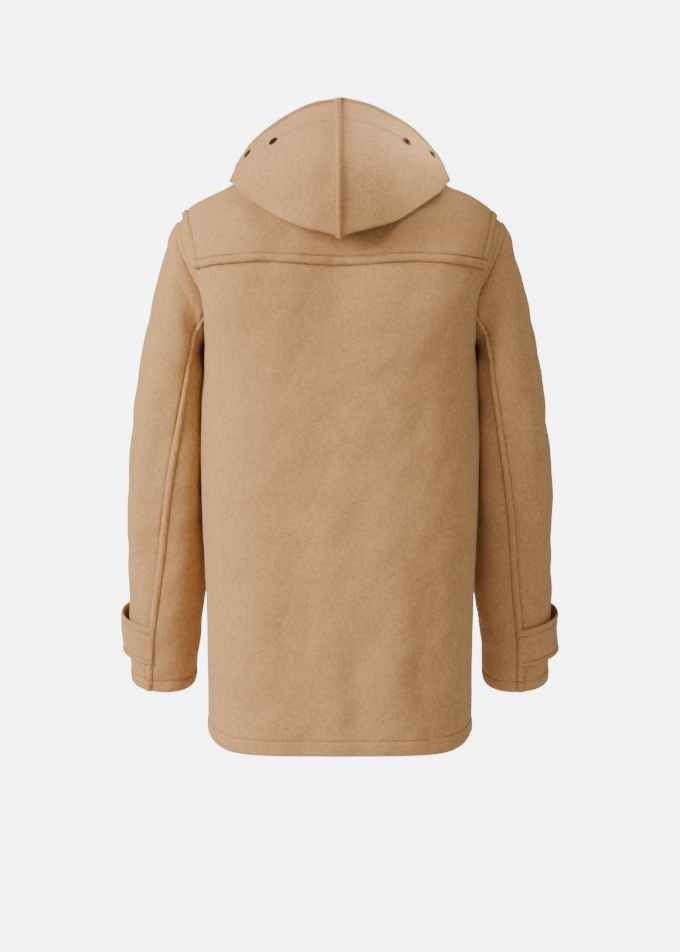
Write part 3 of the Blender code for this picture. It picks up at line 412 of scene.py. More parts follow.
def cloth_piece(name, grid, relief, stuff, outward, inner_relief=0.0,
                thickness=CLOTH, nodes=None, out=None):
    """A sheet from a grid on the coat's form; relief moves its outer face in and out."""
    out = facing(grid, outward) if out is None else out
    nearest = np.minimum.reduce(np.broadcast_arrays(*edge_reach(grid)))
    round_off = rounding(nearest, thickness * EDGE_ROUNDNESS)
    outside = grid + out * (relief - round_off)[..., None]
    inside = grid + out * (inner_relief - thickness + round_off)[..., None]
    quads = grid_quads(*grid.shape[:2], outward)
    closed_sheet(name, outside.reshape(-1, 3), inside.reshape(-1, 3), quads, stuff,
                 nodes or (name,))
    return outside, out


STITCH_PITCH = 0.0040
STITCH_LENGTH = 0.0030
THREAD_RADIUS = 0.00060
THREAD_SINK = 0.8           # how deep a stitch's ends go in, in thread radii
STITCH_SHOULDER = 0.27      # how far from its middle a stitch stays thick, as a share of its length


def stitch_rows(name, rows, stuff):
    """Every visible row of stitches of one piece: short runs of thread, sunk into the cloth."""
    corners, faces = [], []
    for line, out in rows:
        reach = reach_along(line)
        spots = np.arange(STITCH_PITCH * 0.6, reach[-1] - STITCH_LENGTH * 0.6, STITCH_PITCH)
        read = [np.stack([np.interp(spots + shift, reach, values[:, axis]) for axis in range(3)],
                         axis=-1)
                for values, shift in ((line, 0), (out, 0), (line, -STITCH_LENGTH / 2),
                                      (line, STITCH_LENGTH / 2))]
        middle, normal, back, ahead = read
        run = (ahead - back) / np.linalg.norm(ahead - back, axis=1, keepdims=True)
        side = np.cross(run, normal)
        for spot, way, up, over in zip(middle, run, normal, side):
            first = len(corners)
            ends = [spot + way * STITCH_LENGTH * half - up * THREAD_RADIUS * THREAD_SINK
                    for half in (-0.5, 0.5)]
            rings = [spot + way * STITCH_LENGTH * half + (up * rise + over * wide) * THREAD_RADIUS
                     for half in (-STITCH_SHOULDER, STITCH_SHOULDER)
                     for rise, wide in ((0.9, 0), (0, 1), (-0.9, 0), (0, -1))]
            corners += ends + rings
            for turn in range(4):
                near, beside = first + 2 + turn, first + 2 + (turn + 1) % 4
                faces += [(first, near, beside), (near, near + 4, beside + 4, beside),
                          (first + 1, beside + 4, near + 4)]
    smooth_piece(name, [tuple(corner) for corner in corners], faces, stuff)


def line_at(outside, out, distance, wanted, axis):
    """The line on a face at a wanted distance from one edge, and the directions out of it."""
    if axis == 0:
        outside, out, distance = (np.swapaxes(array, 0, 1) for array in (outside, out, distance))
    line, normals = [], []
    for row, row_out, row_distance in zip(outside, out, np.broadcast_to(distance, outside.shape[:2])):
        order = np.argsort(row_distance)
        for source, target in ((row, line), (row_out, normals)):
            target.append([np.interp(wanted, row_distance[order], source[order, k])
                           for k in range(3)])
    return np.array(line), np.array(normals)


def linear(code):
    """The linear colour of an sRGB hex value such as C0A080."""
    channels = [int(code[start:start + 2], 16) / 255 for start in (0, 2, 4)]
    return tuple(value / 12.92 if value <= 0.04045 else ((value + 0.055) / 1.055) ** 2.4
                 for value in channels) + (1.0,)


def set_inputs(tree, node, inputs):
    """Puts numbers, colours or other nodes' outputs on a node's inputs."""
    for socket, value in inputs.items():
        if isinstance(value, bpy.types.NodeSocket):
            tree.links.new(value, node.inputs[socket])
        else:
            node.inputs[socket].default_value = value


def add_node(tree, kind, inputs=None, **settings):
    """A node with its settings and what is on its inputs."""
    made = tree.nodes.new(kind)
    for name, value in settings.items():
        setattr(made, name, value)
    set_inputs(tree, made, inputs or {})
    return made


def noise(tree, place, scale, detail, **inputs):
    """Noise from 0 to 1 over a piece."""
    inputs = {"Vector": place, "Scale": scale, "Detail": detail} | inputs
    return add_node(tree, "ShaderNodeTexNoise", inputs).outputs["Fac"]


def weighed(tree, first, first_weight, *others):
    """The sum of values, each times its weight."""
    total = add_node(tree, "ShaderNodeMath", {0: first, 1: first_weight},
                     operation="MULTIPLY").outputs["Value"]
    for value, weight in others:
        total = add_node(tree, "ShaderNodeMath", {0: value, 1: weight, 2: total},
                         operation="MULTIPLY_ADD").outputs["Value"]
    return total


def two_tones(tree, value, low_stop, low, high_stop, high):
    """A colour that goes from one tone to another while a value rises between two stops."""
    ramp = add_node(tree, "ShaderNodeValToRGB", {"Fac": value})
    stops = ((low_stop, low), (high_stop, high))
    for element, (stop, code) in zip(ramp.color_ramp.elements, stops):
        element.position = stop
        element.color = linear(code)
    return ramp.outputs["Color"]


def mapped(tree, value, low, high):
    """A value from 0 to 1, as one between two others."""
    return add_node(tree, "ShaderNodeMapRange", {"Value": value, "To Min": low,
                                                 "To Max": high}).outputs["Result"]


def bumps(tree, height, strength, distance, **settings):
    """A surface that rises and falls with a value."""
    return add_node(tree, "ShaderNodeBump", {"Height": height, "Strength": strength,
                                             "Distance": distance}, **settings).outputs["Normal"]


def new_material(name):
    """A material with only a Principled shader, its node tree and its place coordinates."""
    made = bpy.data.materials.new(name)
    made.use_nodes = True
    tree = made.node_tree
    place = add_node(tree, "ShaderNodeTexCoord").outputs["Object"]
    return made, tree, tree.nodes["Principled BSDF"], place


FLECK_SOFTNESS = 0.05       # how gradually a fleck begins


def camel_melton(name, low, high, fleck_dark, fleck_light):
    """Milled wool: no weave shows, only a short matted nap, flecked with paler and darker hairs."""
    made, tree, shader, place = new_material(name)
    clouds = noise(tree, place, 26.0, 3.0, Roughness=0.6)
    mottle = noise(tree, place, 170.0, 4.0, Roughness=0.65)
    # The hairs are 20 microns across; matted tufts of 1.5 to 3 mm are what the eye sees.
    tufts = noise(tree, place, 420.0, 3.0, Roughness=0.7)
    hairs = noise(tree, place, 1500.0, 2.0, Roughness=0.7)
    tone = weighed(tree, mottle, 0.45, (tufts, 0.40), (clouds, 0.15))
    shade = two_tones(tree, tone, 0.40, low, 0.60, high)
    for code, scale, threshold, strength in ((fleck_dark, 620.0, 0.640, 0.50),
                                             (fleck_light, 700.0, 0.635, 0.55)):
        fleck = noise(tree, place, scale, 1.0, Distortion=0.8)
        mask = add_node(tree, "ShaderNodeMapRange", {"Value": fleck, "From Min": threshold,
                                                     "From Max": threshold + FLECK_SOFTNESS,
                                                     "To Max": strength})
        shade = add_node(tree, "ShaderNodeMix", {"Factor": mask.outputs["Result"], "A": shade,
                                                 "B": linear(code)},
                         data_type="RGBA").outputs["Result"]
    nap = add_node(tree, "ShaderNodeMath", {0: tufts, 1: hairs}, operation="ADD")
    set_inputs(tree, shader, {
        "Base Color": shade, "Normal": bumps(tree, nap.outputs["Value"], 0.55, 0.0011),
        "Roughness": 0.95, "Specular IOR Level": 0.12, "Sheen Weight": 0.20,
        "Sheen Roughness": 0.55, "Sheen Tint": linear("E8CBA4")})
    return made


MELTON = camel_melton("camel melton, milled wool", "9F7347", "B48757", "795232", "C8A174")
# The stitch thread is tonal polyester, but its colours are set darker than the cloth as painted shade:
# they stand in for the shadow of each stitch sunk in its furrow.
THREAD_WITH_PAINTED_SHADE = camel_melton("tonal polyester thread, darkened as painted shade", "6F4B2D", "7F5A38", "5F4026", "8F6C48")

HEM_BAND = 0.021
HEM_PUFF = 0.0009
ARMHOLE_BAND = 0.0105
BAND_START, BAND_FADE = 1.08, 0.08          # levels over which the armhole's band begins
ARMHOLE_STITCHES = 1.12
SOFT_ROUNDS = 12
MIDDLE_ROOM = 0.011         # no column lies nearer to the middle one, as a share across
FOLD_HOLD = 0.035
FULLNESS_REACH = 0.055
BACK_FOLDS = (              # (x, z) to (x, z), half width, height, bow
    ((0.052, -0.82), (0.058, -0.44), 0.036, -0.0036, 0.003),
    ((0.004, -0.82), (0.022, -0.50), 0.028, 0.0024, 0.000),
    ((-0.026, -0.82), (-0.020, -0.66), 0.018, -0.0022, 0.003),
    ((-0.078, -0.82), (-0.070, -0.52), 0.034, 0.0028, -0.004),
    ((-0.134, -0.82), (-0.122, -0.56), 0.028, -0.0042, 0.004),
    ((0.112, -0.82), (0.116, -0.50), 0.038, 0.0018, 0.003),
    ((0.030, -0.46), (0.026, -0.14), 0.044, -0.0030, 0.000),
    ((-0.118, -0.46), (-0.124, -0.20), 0.034, -0.0024, 0.004),
    ((0.176, -0.25), (0.150, -0.38), 0.016, -0.0018, 0.004),
    ((-0.176, -0.25), (-0.150, -0.38), 0.016, -0.0018, -0.004))
SIDE_FULLNESS = (           # height, how far the side seam stands out beyond the form
    (-0.80, 0.0014), (-0.62, 0.0020), (-0.50, 0.0026), (-0.40, 0.0034), (-0.32, 0.0030),
    (-0.20, 0.0))


def body_relief(grid, table, seed):
    """Folds and slack of the body, still at the side seams, which stand out below the arms."""
    side = from_side_seam(grid)
    moved = folds(grid[..., 0], grid[..., 2], table) + slack(grid, seed)
    heights, fullness = np.transpose(SIDE_FULLNESS)
    return (moved * ease(side / FOLD_HOLD)
            + np.interp(grid[..., 2], heights, fullness) * (1 - ease(side / FULLNESS_REACH)))


def above_underarm(levels):
    """0 below the armhole's band and 1 along it, for each row."""
    return ease((levels - BAND_START) / BAND_FADE)[:, None]


back_levels = body_levels(BACK, start_marks=(HEM_BAND,))
half_back = places(CHEST_RING[BACK].length, end_marks=(ARMHOLE_BAND,)) / CHEST_RING[BACK].length
half_back = half_back[half_back > MIDDLE_ROOM]
back_across = np.concatenate((-half_back[::-1], [0.0], half_back))
back_grid = eased_chest(soften(body_grid(back_across, back_levels, BACK), SOFT_ROUNDS),
                        back_levels)
hem, top, right_edge, left_edge = edge_reach(back_grid)
back_moves = (body_relief(back_grid, BACK_FOLDS, 1.0)
              + turned_edge(hem, right_edge, HEM_BAND, puff=HEM_PUFF, seed=2)
              + (turned_edge(left_edge, hem, ARMHOLE_BAND, seed=3)
                 + turned_edge(right_edge, hem, ARMHOLE_BAND, seed=4)) * above_underarm(back_levels))
back_face, back_out = cloth_piece("back", back_grid, back_moves, MELTON, -1)
armhole_rows = back_levels > ARMHOLE_STITCHES
stitch_rows("back_stitches",
            [line_at(back_face, back_out, hem, HEM_BAND, 0)]
            + [line_at(back_face[armhole_rows], back_out[armhole_rows], edge[armhole_rows],
                       ARMHOLE_BAND, 1) for edge in (left_edge, right_edge)], THREAD_WITH_PAINTED_SHADE)


# ---------------------------------------------------------------- fronts
# Two fronts of the same melton.  The wearer's left laps over the right, and each front edge is
# turned in and stitched down like the hem.

OVERLAP = 0.125             # how far each front passes the middle, as a share across
UNDERLAP = CLOTH + 0.0020   # the right front runs this far behind the left
UNDERLAP_START, UNDERLAP_FADE = 2.2, 1.1    # from the middle, in overlaps
FRONT_BAND = 0.012
FRONT_FOLDS = (
    ((0.120, -0.80), (0.126, -0.56), 0.024, -0.0046, 0.004),
    ((-0.126, -0.80), (-0.118, -0.58), 0.024, -0.0048, -0.004),
    ((0.070, -0.80), (0.084, -0.60), 0.026, 0.0026, 0.000),
    ((-0.060, -0.80), (-0.072, -0.56), 0.026, 0.0030, 0.004),
    ((0.172, -0.25), (0.120, -0.36), 0.014, -0.0030, 0.006),
    ((-0.172, -0.25), (-0.120, -0.37), 0.014, -0.0030, -0.006),
    ((0.150, -0.18), (0.090, -0.26), 0.020, -0.0022, 0.004),
    ((-0.150, -0.18), (-0.090, -0.26), 0.020, -0.0020, -0.004))

front_levels = body_levels(FRONT, start_marks=(HEM_BAND,))
front_rows = front_levels > ARMHOLE_STITCHES
front_width = CHEST_RING[FRONT].length
front_panels, front_faces = {}, {}
for side, hand in HANDS.items():
    name = f"front_{hand}"
    across = places(front_width * (1 + OVERLAP), (FRONT_BAND,), (ARMHOLE_BAND,)) / front_width
    across = side * (across - OVERLAP)
    grid = eased_chest(soften(body_grid(across, front_levels, FRONT), SOFT_ROUNDS), front_levels)
    hem, top, front_edge, armhole_edge = edge_reach(grid)
    folded = body_relief(grid, FRONT_FOLDS, 2.0)
    front_panels[side] = (front_levels, side * across, grid, folded)
    moves = (folded
             + turned_edge(hem, front_edge, HEM_BAND, puff=HEM_PUFF, seed=5)
             + turned_edge(front_edge, hem, FRONT_BAND, seed=6 + side)
             + turned_edge(armhole_edge, hem, ARMHOLE_BAND, seed=9) * above_underarm(front_levels))
    under = np.zeros_like(moves)
    if side == RIGHT:
        past_middle = (UNDERLAP_START * OVERLAP + across) / (UNDERLAP_FADE * OVERLAP)
        under = -UNDERLAP * ease(past_middle)[None, :] * np.ones_like(moves)
    face, out = cloth_piece(name, grid, moves + under, MELTON, side,
                            inner_relief=under)
    front_faces[side] = face
    stitch_rows(f"{name}_stitches",
                [line_at(face, out, hem, HEM_BAND, 0), line_at(face, out, front_edge, FRONT_BAND, 1),
                 line_at(face[front_rows], out[front_rows], armhole_edge[front_rows],
                         ARMHOLE_BAND, 1)], THREAD_WITH_PAINTED_SHADE)


# ---------------------------------------------------------------- yoke
# One overlay of melton lies over the back, both shoulders and the tops of the fronts.  Its raw
# edges are turned under, which makes them puff, and are stitched through all the layers.

YOKE_LOW = {BACK: 1.46, FRONT: 1.64}
YOKE_OFF = 0.0022           # its under side stands this far off the panels
YOKE_BAND = 0.0115
YOKE_BAND_ROWS = (0.85 * YOKE_BAND, YOKE_BAND, 1.15 * YOKE_BAND)
YOKE_MIDDLE_ROOM = 0.012
ROW_ROOM = 0.0004           # how far off its place a row may lie and still be on it
YOKE_EDGE_RADIUS = 0.0026
YOKE_PUFF = 0.0023
YOKE_FURROW = 0.0022
YOKE_NECK_FADE = 0.08
YOKE_CORNER_REACH = 0.831   # share across of its side edge at the lower corners
YOKE_TOP_REACH = 0.935      # and on the shoulder
YOKE_NECK_POINT = 0.40 / YOKE_TOP_REACH
YOKE_NECK_INSET = {BACK: 0.02, FRONT: 0.07}
YOKE_INNER_EDGE = OVERLAP / YOKE_CORNER_REACH
YOKE_WIDTH = 0.235          # from its middle to its side edge, over the cloth


def read_grid(values, rows, columns, at_rows, at_columns):
    """A panel's values at levels and shares across, between its own rows and columns."""
    row = np.clip(np.searchsorted(rows, at_rows) - 1, 0, len(rows) - 2)
    column = np.clip(np.searchsorted(columns, at_columns) - 1, 0, len(columns) - 2)
    up = ((at_rows - rows[row]) / (rows[row + 1] - rows[row]))[..., None]
    over = ((at_columns - columns[column]) / (columns[column + 1] - columns[column]))[..., None]
    low = values[row, column] * (1 - over) + values[row, column + 1] * over
    high = values[row + 1, column] * (1 - over) + values[row + 1, column + 1] * over
    return low * (1 - up) + high * up


def yoke_part(face, shares, panel, outward, seed):
    """One part of the yoke on the panel under it: outer and inner faces, directions, distances."""
    levels, across, grid, moves = panel
    low = YOKE_LOW[face]
    own = body_levels(face, low, 2.0, YOKE_BAND_ROWS)
    inset = YOKE_NECK_INSET[face] * ease((YOKE_NECK_POINT - np.abs(shares)) / YOKE_NECK_FADE)
    at_level = low + ((own - low) / (2.0 - low))[:, None] * (2.0 - inset - low)[None, :]
    rise = (at_level - YOKE_LOW[BACK]) / (2.0 - YOKE_LOW[BACK])
    reach = YOKE_CORNER_REACH + (YOKE_TOP_REACH - YOKE_CORNER_REACH) * ease(rise)
    at_across = shares[None, :] * reach
    base = read_grid(grid, levels, across, at_level, at_across)
    lift = read_grid(moves[..., None], levels, across, at_level, at_across)[..., 0]
    out = facing(base, outward)
    low_edge, _, inner_edge, side_edge_reach = edge_reach(base)
    edges = [(low_edge, inner_edge), (side_edge_reach, low_edge), (inner_edge, low_edge)]
    puffs = sum(turned_edge(distance, along, YOKE_BAND, YOKE_PUFF, YOKE_FURROW, seed + index)
                for index, (distance, along) in enumerate(edges))
    nearest = np.minimum.reduce([np.broadcast_to(edge, lift.shape) for edge, _ in edges])
    round_off = rounding(nearest, YOKE_EDGE_RADIUS)
    off = YOKE_OFF + lift + 0.6 * slack(base, seed)
    sewn_down = 0.8 * YOKE_OFF * (1 - ease(nearest / YOKE_BAND))
    outside = base + out * (off + CLOTH + puffs - round_off - 0.5 * sewn_down)[..., None]
    inside = base + out * (off - sewn_down + 0.4 * round_off)[..., None]
    between = slice(*band_columns(inner_edge, side_edge_reach, YOKE_BAND))
    rows = [line_at(outside[:, between], out[:, between], low_edge[:, between], YOKE_BAND, 0)]
    above = low_edge.max(axis=1) >= YOKE_BAND - ROW_ROOM
    rows += [line_at(outside[above], out[above], distance[above], YOKE_BAND, 1)
             for distance in (inner_edge, side_edge_reach)]
    return outside, inside, rows


def band_columns(first_edge, last_edge, band):
    """The first and last column that lie inside the bands of both side edges."""
    middle = len(first_edge) // 3
    nearest = np.minimum(first_edge[middle], last_edge[middle])
    inside = np.flatnonzero(nearest >= band - ROW_ROOM)
    return inside[0], inside[-1] + 1


yoke_half = places(YOKE_WIDTH, end_marks=(YOKE_BAND,)) / YOKE_WIDTH
yoke_half = yoke_half[yoke_half > YOKE_MIDDLE_ROOM]
neck_column = int(np.argmin(np.abs(yoke_half - YOKE_NECK_POINT)))
yoke_half[neck_column] = YOKE_NECK_POINT
yoke_across = np.concatenate((-yoke_half[::-1], [0.0], yoke_half))
inner_part = YOKE_INNER_EDGE + places(YOKE_WIDTH, (YOKE_BAND,)) / YOKE_WIDTH
inner_part = inner_part[inner_part < YOKE_NECK_POINT - YOKE_MIDDLE_ROOM]
outer_part = yoke_half[neck_column:]

back_panel = (back_levels, back_across, back_grid, body_relief(back_grid, BACK_FOLDS, 1.0))
outside, inside, yoke_rows = yoke_part(BACK, yoke_across, back_panel, -1, 1)
outsides, insides = [outside], [inside]
index = np.arange(outsides[0][..., 0].size).reshape(outsides[0].shape[:2])
shoulder = index[-1]
yoke_quads = [index_quads(index, -1)]
first = index.size
for side in (LEFT, RIGHT):
    shares = np.concatenate((inner_part, outer_part))
    outside, inside, rows = yoke_part(FRONT, shares, front_panels[side], side, 4 + side)
    index = np.arange(outside[..., 0].size).reshape(outside.shape[:2]) + first
    first += index.size
    shared = shoulder[len(yoke_half) + side * (1 + neck_column + np.arange(len(outer_part)))]
    for own, whole in ((outside, outsides), (inside, insides)):
        flat = whole[0].reshape(-1, 3)
        flat[shared] = (flat[shared] + own[-1, len(inner_part):]) / 2
        whole.append(own)
    index[-1, len(inner_part):] = shared
    yoke_quads.append(index_quads(index, side))
    yoke_rows += rows
yoke_quads = np.concatenate(yoke_quads)
used, yoke_quads = np.unique(yoke_quads, return_inverse=True)
outside, inside = (np.concatenate([part.reshape(-1, 3) for part in parts])[used]
                   for parts in (outsides, insides))
closed_sheet("yoke", outside, inside, yoke_quads.reshape(-1, 4), MELTON,
             ("yoke",))
stitch_rows("yoke_stitches", yoke_rows, THREAD_WITH_PAINTED_SHADE)


# ---------------------------------------------------------------- hood
# Two halves of melton, joined over the middle, stand up from the neck seam, roll over and hang
# down the back as a bag.  The face edge is turned and stitched, and a facing is sewn in behind it.

HOOD_STATIONS = (           # neck, then x, y, z of the crest, fold, belly and face edge, then turn
    (0.00, 0.000, 0.098, 0.030, 0.000, 0.165, -0.1150, 0.0000, 0.188, -0.020,
     0.0000, 0.125, 0.0820, 1.0),
    (0.30, 0.027, 0.095, 0.031, 0.045, 0.160, -0.1030, 0.0470, 0.176, -0.016,
     0.0450, 0.118, 0.0725, 1.0),
    (0.60, 0.055, 0.083, 0.034, 0.086, 0.141, -0.0870, 0.0900, 0.150, -0.015,
     0.0870, 0.100, 0.0540, 1.0),
    (0.85, 0.080, 0.062, 0.038, 0.122, 0.108, -0.0605, 0.1270, 0.112, -0.012,
     0.1220, 0.074, 0.0290, 1.0),
    (1.00, 0.096, 0.036, 0.042, 0.146, 0.070, -0.0340, 0.1505, 0.068, -0.015,
     0.1465, 0.045, -0.0020, 1.0),
    (1.10, 0.102, 0.012, 0.044, 0.1500, 0.034, -0.0270, 0.1528, 0.024, -0.0185,
     0.1490, 0.008, -0.0085, 0.5),
    (1.22, 0.101, -0.010, 0.042, 0.144, 0.002, -0.0140, 0.1485, -0.004, -0.0185,
     0.1475, -0.016, -0.0165, -0.3),
    (1.42, 0.095, -0.035, 0.032, 0.131, -0.042, -0.0040, 0.1370, -0.052, -0.012,
     0.1405, -0.062, -0.0205, -0.9),
    (1.65, 0.073, -0.063, 0.004, 0.102, -0.090, -0.0330, 0.1060, -0.102, -0.045,
     0.1090, -0.113, -0.0570, -1.0),
    (1.85, 0.045, -0.085, -0.030, 0.060, -0.112, -0.0660, 0.0630, -0.121, -0.080,
     0.0650, -0.129, -0.0930, -1.0),
    (1.99, 0.013, -0.096, -0.055, 0.019, -0.116, -0.0850, 0.0200, -0.123, -0.096,
     0.0210, -0.130, -0.1070, -1.0))
HOOD_SEAM_GAP = 0.0008
HOOD_NECK_RISE = 0.012
HOOD_FOLD_RADIUS = 0.007
HOOD_UNDER_PLY_BOW = 0.006
HOOD_KEYS = 8               # key points up the profile, counted from 0 at the neck seam
HOOD_WIDTH = 0.30           # half the hood along its face edge
HOOD_ROW_STEP, HOOD_COLUMN_STEP = 0.0028, 0.0034
HOOD_MEASURED_AT = 0.12     # share round it where its profile is measured
OUTER_PLY_START, OUTER_PLY_FADE = 4.8, 1.4          # places up its profile
HOOD_FOLD_SHIFT = 0.004     # so that the folds of the two halves differ
HOOD_SLACK = 1.2
HOOD_NECK_HOLD, HOOD_THROAT_HOLD = 0.012, 0.010
FACE_BAND = 0.0060
FACE_PUFF = 0.0015
FACE_FURROW = 0.0022
FACE_FURROW_END, FACE_FURROW_FADE = 0.38, 0.10      # shares round it where it gets shallow
FACING_WIDTH = 0.040
FACING_FURROW = 0.0022
FACING_FURROW_WIDTH = 0.0016
HOOD_FOLDS = (              # x and z seen from behind, on the left half
    ((0.030, -0.100), (0.050, -0.060), 0.012, 0.0014, 0.002),
    ((0.075, -0.085), (0.105, -0.035), 0.014, -0.0020, 0.004),
    ((0.120, -0.055), (0.142, -0.030), 0.010, 0.0018, 0.003),
    ((0.020, -0.030), (0.080, -0.040), 0.022, 0.0016, -0.004),
    ((0.012, 0.060), (0.020, -0.060), 0.008, -0.0012, 0.002))


def unit(vectors):
    """The same directions, one long."""
    return vectors / np.linalg.norm(vectors, axis=-1, keepdims=True)


def hood_grid(around, place):
    """The left half of the hood: columns round it from the middle, rows up its profile."""
    read = spline_at(HOOD_STATIONS, around * (len(HOOD_STATIONS) - 1))
    neck, turn = read[:, 0], read[:, 13]
    crest, fold, belly, face = (read[:, start:start + 3] for start in (1, 4, 7, 10))
    up = np.array((0.0, 0.0, 1.0))
    seam = (np.where(neck[:, None] <= 1, NECK[BACK](neck), NECK[FRONT](2 - neck))
            + up * HOOD_SEAM_GAP)
    out = unit((fold - crest) * (1, 1, 0))
    bag = ((turn + 1) / 2)[:, None]
    to_crest, to_belly = unit(crest - fold), unit(belly - fold)
    fold_in = fold + (to_crest + (up - out - to_crest) * bag) * HOOD_FOLD_RADIUS
    fold_out = fold + (to_belly + (up + out - to_belly) * bag) * HOOD_FOLD_RADIUS
    under = (crest + fold_in) / 2 + out * HOOD_UNDER_PLY_BOW
    keys = np.stack((seam, seam + up * HOOD_NECK_RISE, crest, under, fold_in, fold, fold_out,
                     belly, face))
    return spline_at(keys.reshape(len(keys), -1), place).reshape(len(place), len(around), 3)


hood_dense = np.linspace(0, HOOD_KEYS, 400)
hood_line = hood_grid(np.array([HOOD_MEASURED_AT]), hood_dense)[:, 0]
hood_reach = reach_along(hood_line)
hood_rows = np.interp(places(hood_reach[-1], end_marks=(FACE_BAND, FACING_WIDTH),
                             step=HOOD_ROW_STEP), hood_reach, hood_dense)
hood_around = places(HOOD_WIDTH, step=HOOD_COLUMN_STEP) / HOOD_WIDTH
hood_faces = {}
for side, hand in HANDS.items():
    name = f"hood_{hand}"
    grid = soften(hood_grid(hood_around, hood_rows), 6)
    neck_edge, face_edge, middle, throat = edge_reach(grid)
    on_outer_ply = ease((hood_rows - OUTER_PLY_START) / OUTER_PLY_FADE)[:, None]
    shallower = 1 - 0.8 * ease((hood_around - FACE_FURROW_END) / FACE_FURROW_FADE)[None, :]
    moves = (folds(grid[..., 0] + HOOD_FOLD_SHIFT * side, grid[..., 2], HOOD_FOLDS) * on_outer_ply
             + HOOD_SLACK * slack(grid, 3.0 + side)
             + shallower * turned_edge(face_edge, middle, FACE_BAND, FACE_PUFF, FACE_FURROW,
                                       11 + side)
             - FACING_FURROW * np.exp(-((face_edge - FACING_WIDTH) / FACING_FURROW_WIDTH) ** 2))
    moves = moves * ease(neck_edge / HOOD_NECK_HOLD) * ease(throat / HOOD_THROAT_HOLD)
    grid[..., 0] *= side
    face, out = cloth_piece(name, grid, moves, MELTON, -side)
    hood_faces[side] = (face, out)
    stitch_rows(f"{name}_stitches", [line_at(face[:, 2:], out[:, 2:], face_edge[:, 2:], wanted, 0)
                                     for wanted in (FACE_BAND, FACING_WIDTH)], THREAD_WITH_PAINTED_SHADE)


# ---------------------------------------------------------------- hood seam strip
# The seam between the halves is lapped: a folded band of melton, raised over the hood, stitched
# down along both its sides from the face edge to under the bag.

STRIP_EDGES = (             # place up the hood's profile, x of its left side, x of its right side
    (1.0, 0.0060, -0.0035), (5.0, 0.0058, -0.0044), (6.0, 0.0068, -0.0040),
    (7.0, 0.0080, -0.0034), (7.6, 0.0084, -0.0028), (8.0, 0.0090, -0.0002))
STRIP_OFF = 0.0006
STRIP_THICKNESS = 0.0018
STRIP_BAND = 0.0017
STRIP_PUFF = 0.0002
STRIP_FURROWS = (0.0007, 0.0013)    # along its left and right sides
STRIP_CROWN = 0.0008        # how far its middle stands up
STRIP_RISE = 0.0003
STRIP_PLACES = (0, 0.04, 0.10, 0.17, 0.26, 0.37)    # points across it, up to its middle
STRIP_END_ROOM = 0.02       # it ends this far short of the face edge, in places up the profile
STRIP_MEASURED_AT = 0.04    # share round the hood where its slope beside the middle is read

strip_rows = hood_rows[(hood_rows >= STRIP_EDGES[0][0]) & (hood_rows < HOOD_KEYS - STRIP_END_ROOM)]
strip_table = np.array(STRIP_EDGES)
strip_left, strip_right = (np.interp(strip_rows, strip_table[:, 0], strip_table[:, column])
                           for column in (1, 2))
strip_half = np.array(STRIP_PLACES)
strip_across = np.concatenate((strip_half, [0.50], 1 - strip_half[::-1]))
strip_middle = hood_grid(np.array([0.0, STRIP_MEASURED_AT]), strip_rows)
spread = strip_left[:, None] + (strip_right - strip_left)[:, None] * strip_across[None, :]
share = np.abs(spread) / strip_middle[:, 1:2, 0]
grid = strip_middle[:, :1] + (strip_middle[:, 1:] - strip_middle[:, :1]) * share[..., None]
grid[..., 0] = spread
strip_out = facing(grid, 1)
top_end, bottom_end, left_side, right_side = edge_reach(grid)
moves = (turned_edge(left_side, top_end, STRIP_BAND, STRIP_PUFF, STRIP_FURROWS[0], 12)
         + turned_edge(right_side, top_end, STRIP_BAND, STRIP_PUFF, STRIP_FURROWS[1], 13)
         + STRIP_CROWN * np.sin(math.pi * strip_across)[None, :] * (1 + 0.4 * wander(top_end, 14.0)))
moves += STRIP_OFF + STRIP_THICKNESS + STRIP_RISE
face, out = cloth_piece("hood_seam_strip", grid, moves, MELTON, 1,
                        inner_relief=STRIP_OFF + STRIP_THICKNESS,
                        thickness=STRIP_THICKNESS, out=strip_out)
stitch_rows("hood_seam_strip_stitches",
            [line_at(face, out, left_side, STRIP_BAND, 1),
             line_at(face, out, right_side, STRIP_BAND, 1),
             line_at(face, out, bottom_end, FACING_WIDTH, 0)], THREAD_WITH_PAINTED_SHADE)


# ---------------------------------------------------------------- eyelets
# Four two-part eyelets let air into the hood, two beside its face edge on each side.  They are
# spun from brass, oxidised dark, and clenched through holes punched in the melton.

EYELETS = (("inner", 2.10, 7.53), ("outer", 3.15, 7.55))    # round the hood, up its profile
EYELET_HOLE = 0.0075        # the hole in the cloth, across
EYELET_FLANGE = 0.0140
EYELET_RIM = 0.0017         # half the width of the rolled rim
EYELET_SINK = 0.0002        # how far the rim is pressed into the nap
EYELET_WALL = 0.0004
EYELET_HEIGHT_SHARE = 0.75  # its rim's height over its width
BARREL_FREE = 0.0002        # room between the barrel and the hole
BARREL_LIP = 0.0007
BARREL_FLARE = 1.12
PUNCH_DEPTH = 0.016


def select_only(piece):
    """Leaves one object selected and active."""
    bpy.ops.object.select_all(action="DESELECT")
    piece.select_set(True)
    bpy.context.view_layer.objects.active = piece


def edit_where(piece, kind, test):
    """Opens a piece in edit mode with only the faces or vertices selected that pass the test."""
    select_only(piece)
    bpy.ops.object.mode_set(mode="EDIT")
    bpy.ops.mesh.select_mode(type=kind)
    bpy.ops.mesh.select_all(action="DESELECT")
    bpy.ops.object.mode_set(mode="OBJECT")
    for part in piece.data.polygons if kind == "FACE" else piece.data.vertices:
        part.select = test(part)
    bpy.ops.object.mode_set(mode="EDIT")


def take_primitive(name, stuff):
    """The primitive just added, as a named piece of its material."""
    piece = bpy.context.object
    piece.name = piece.data.name = name
    piece.data.materials.append(stuff)
    return piece


def add_cylinder(vertices, radius, depth, **settings):
    """A cylinder, the only thing selected."""
    bpy.ops.object.select_all(action="DESELECT")
    bpy.ops.mesh.primitive_cylinder_add(vertices=vertices, radius=radius, depth=depth, **settings)


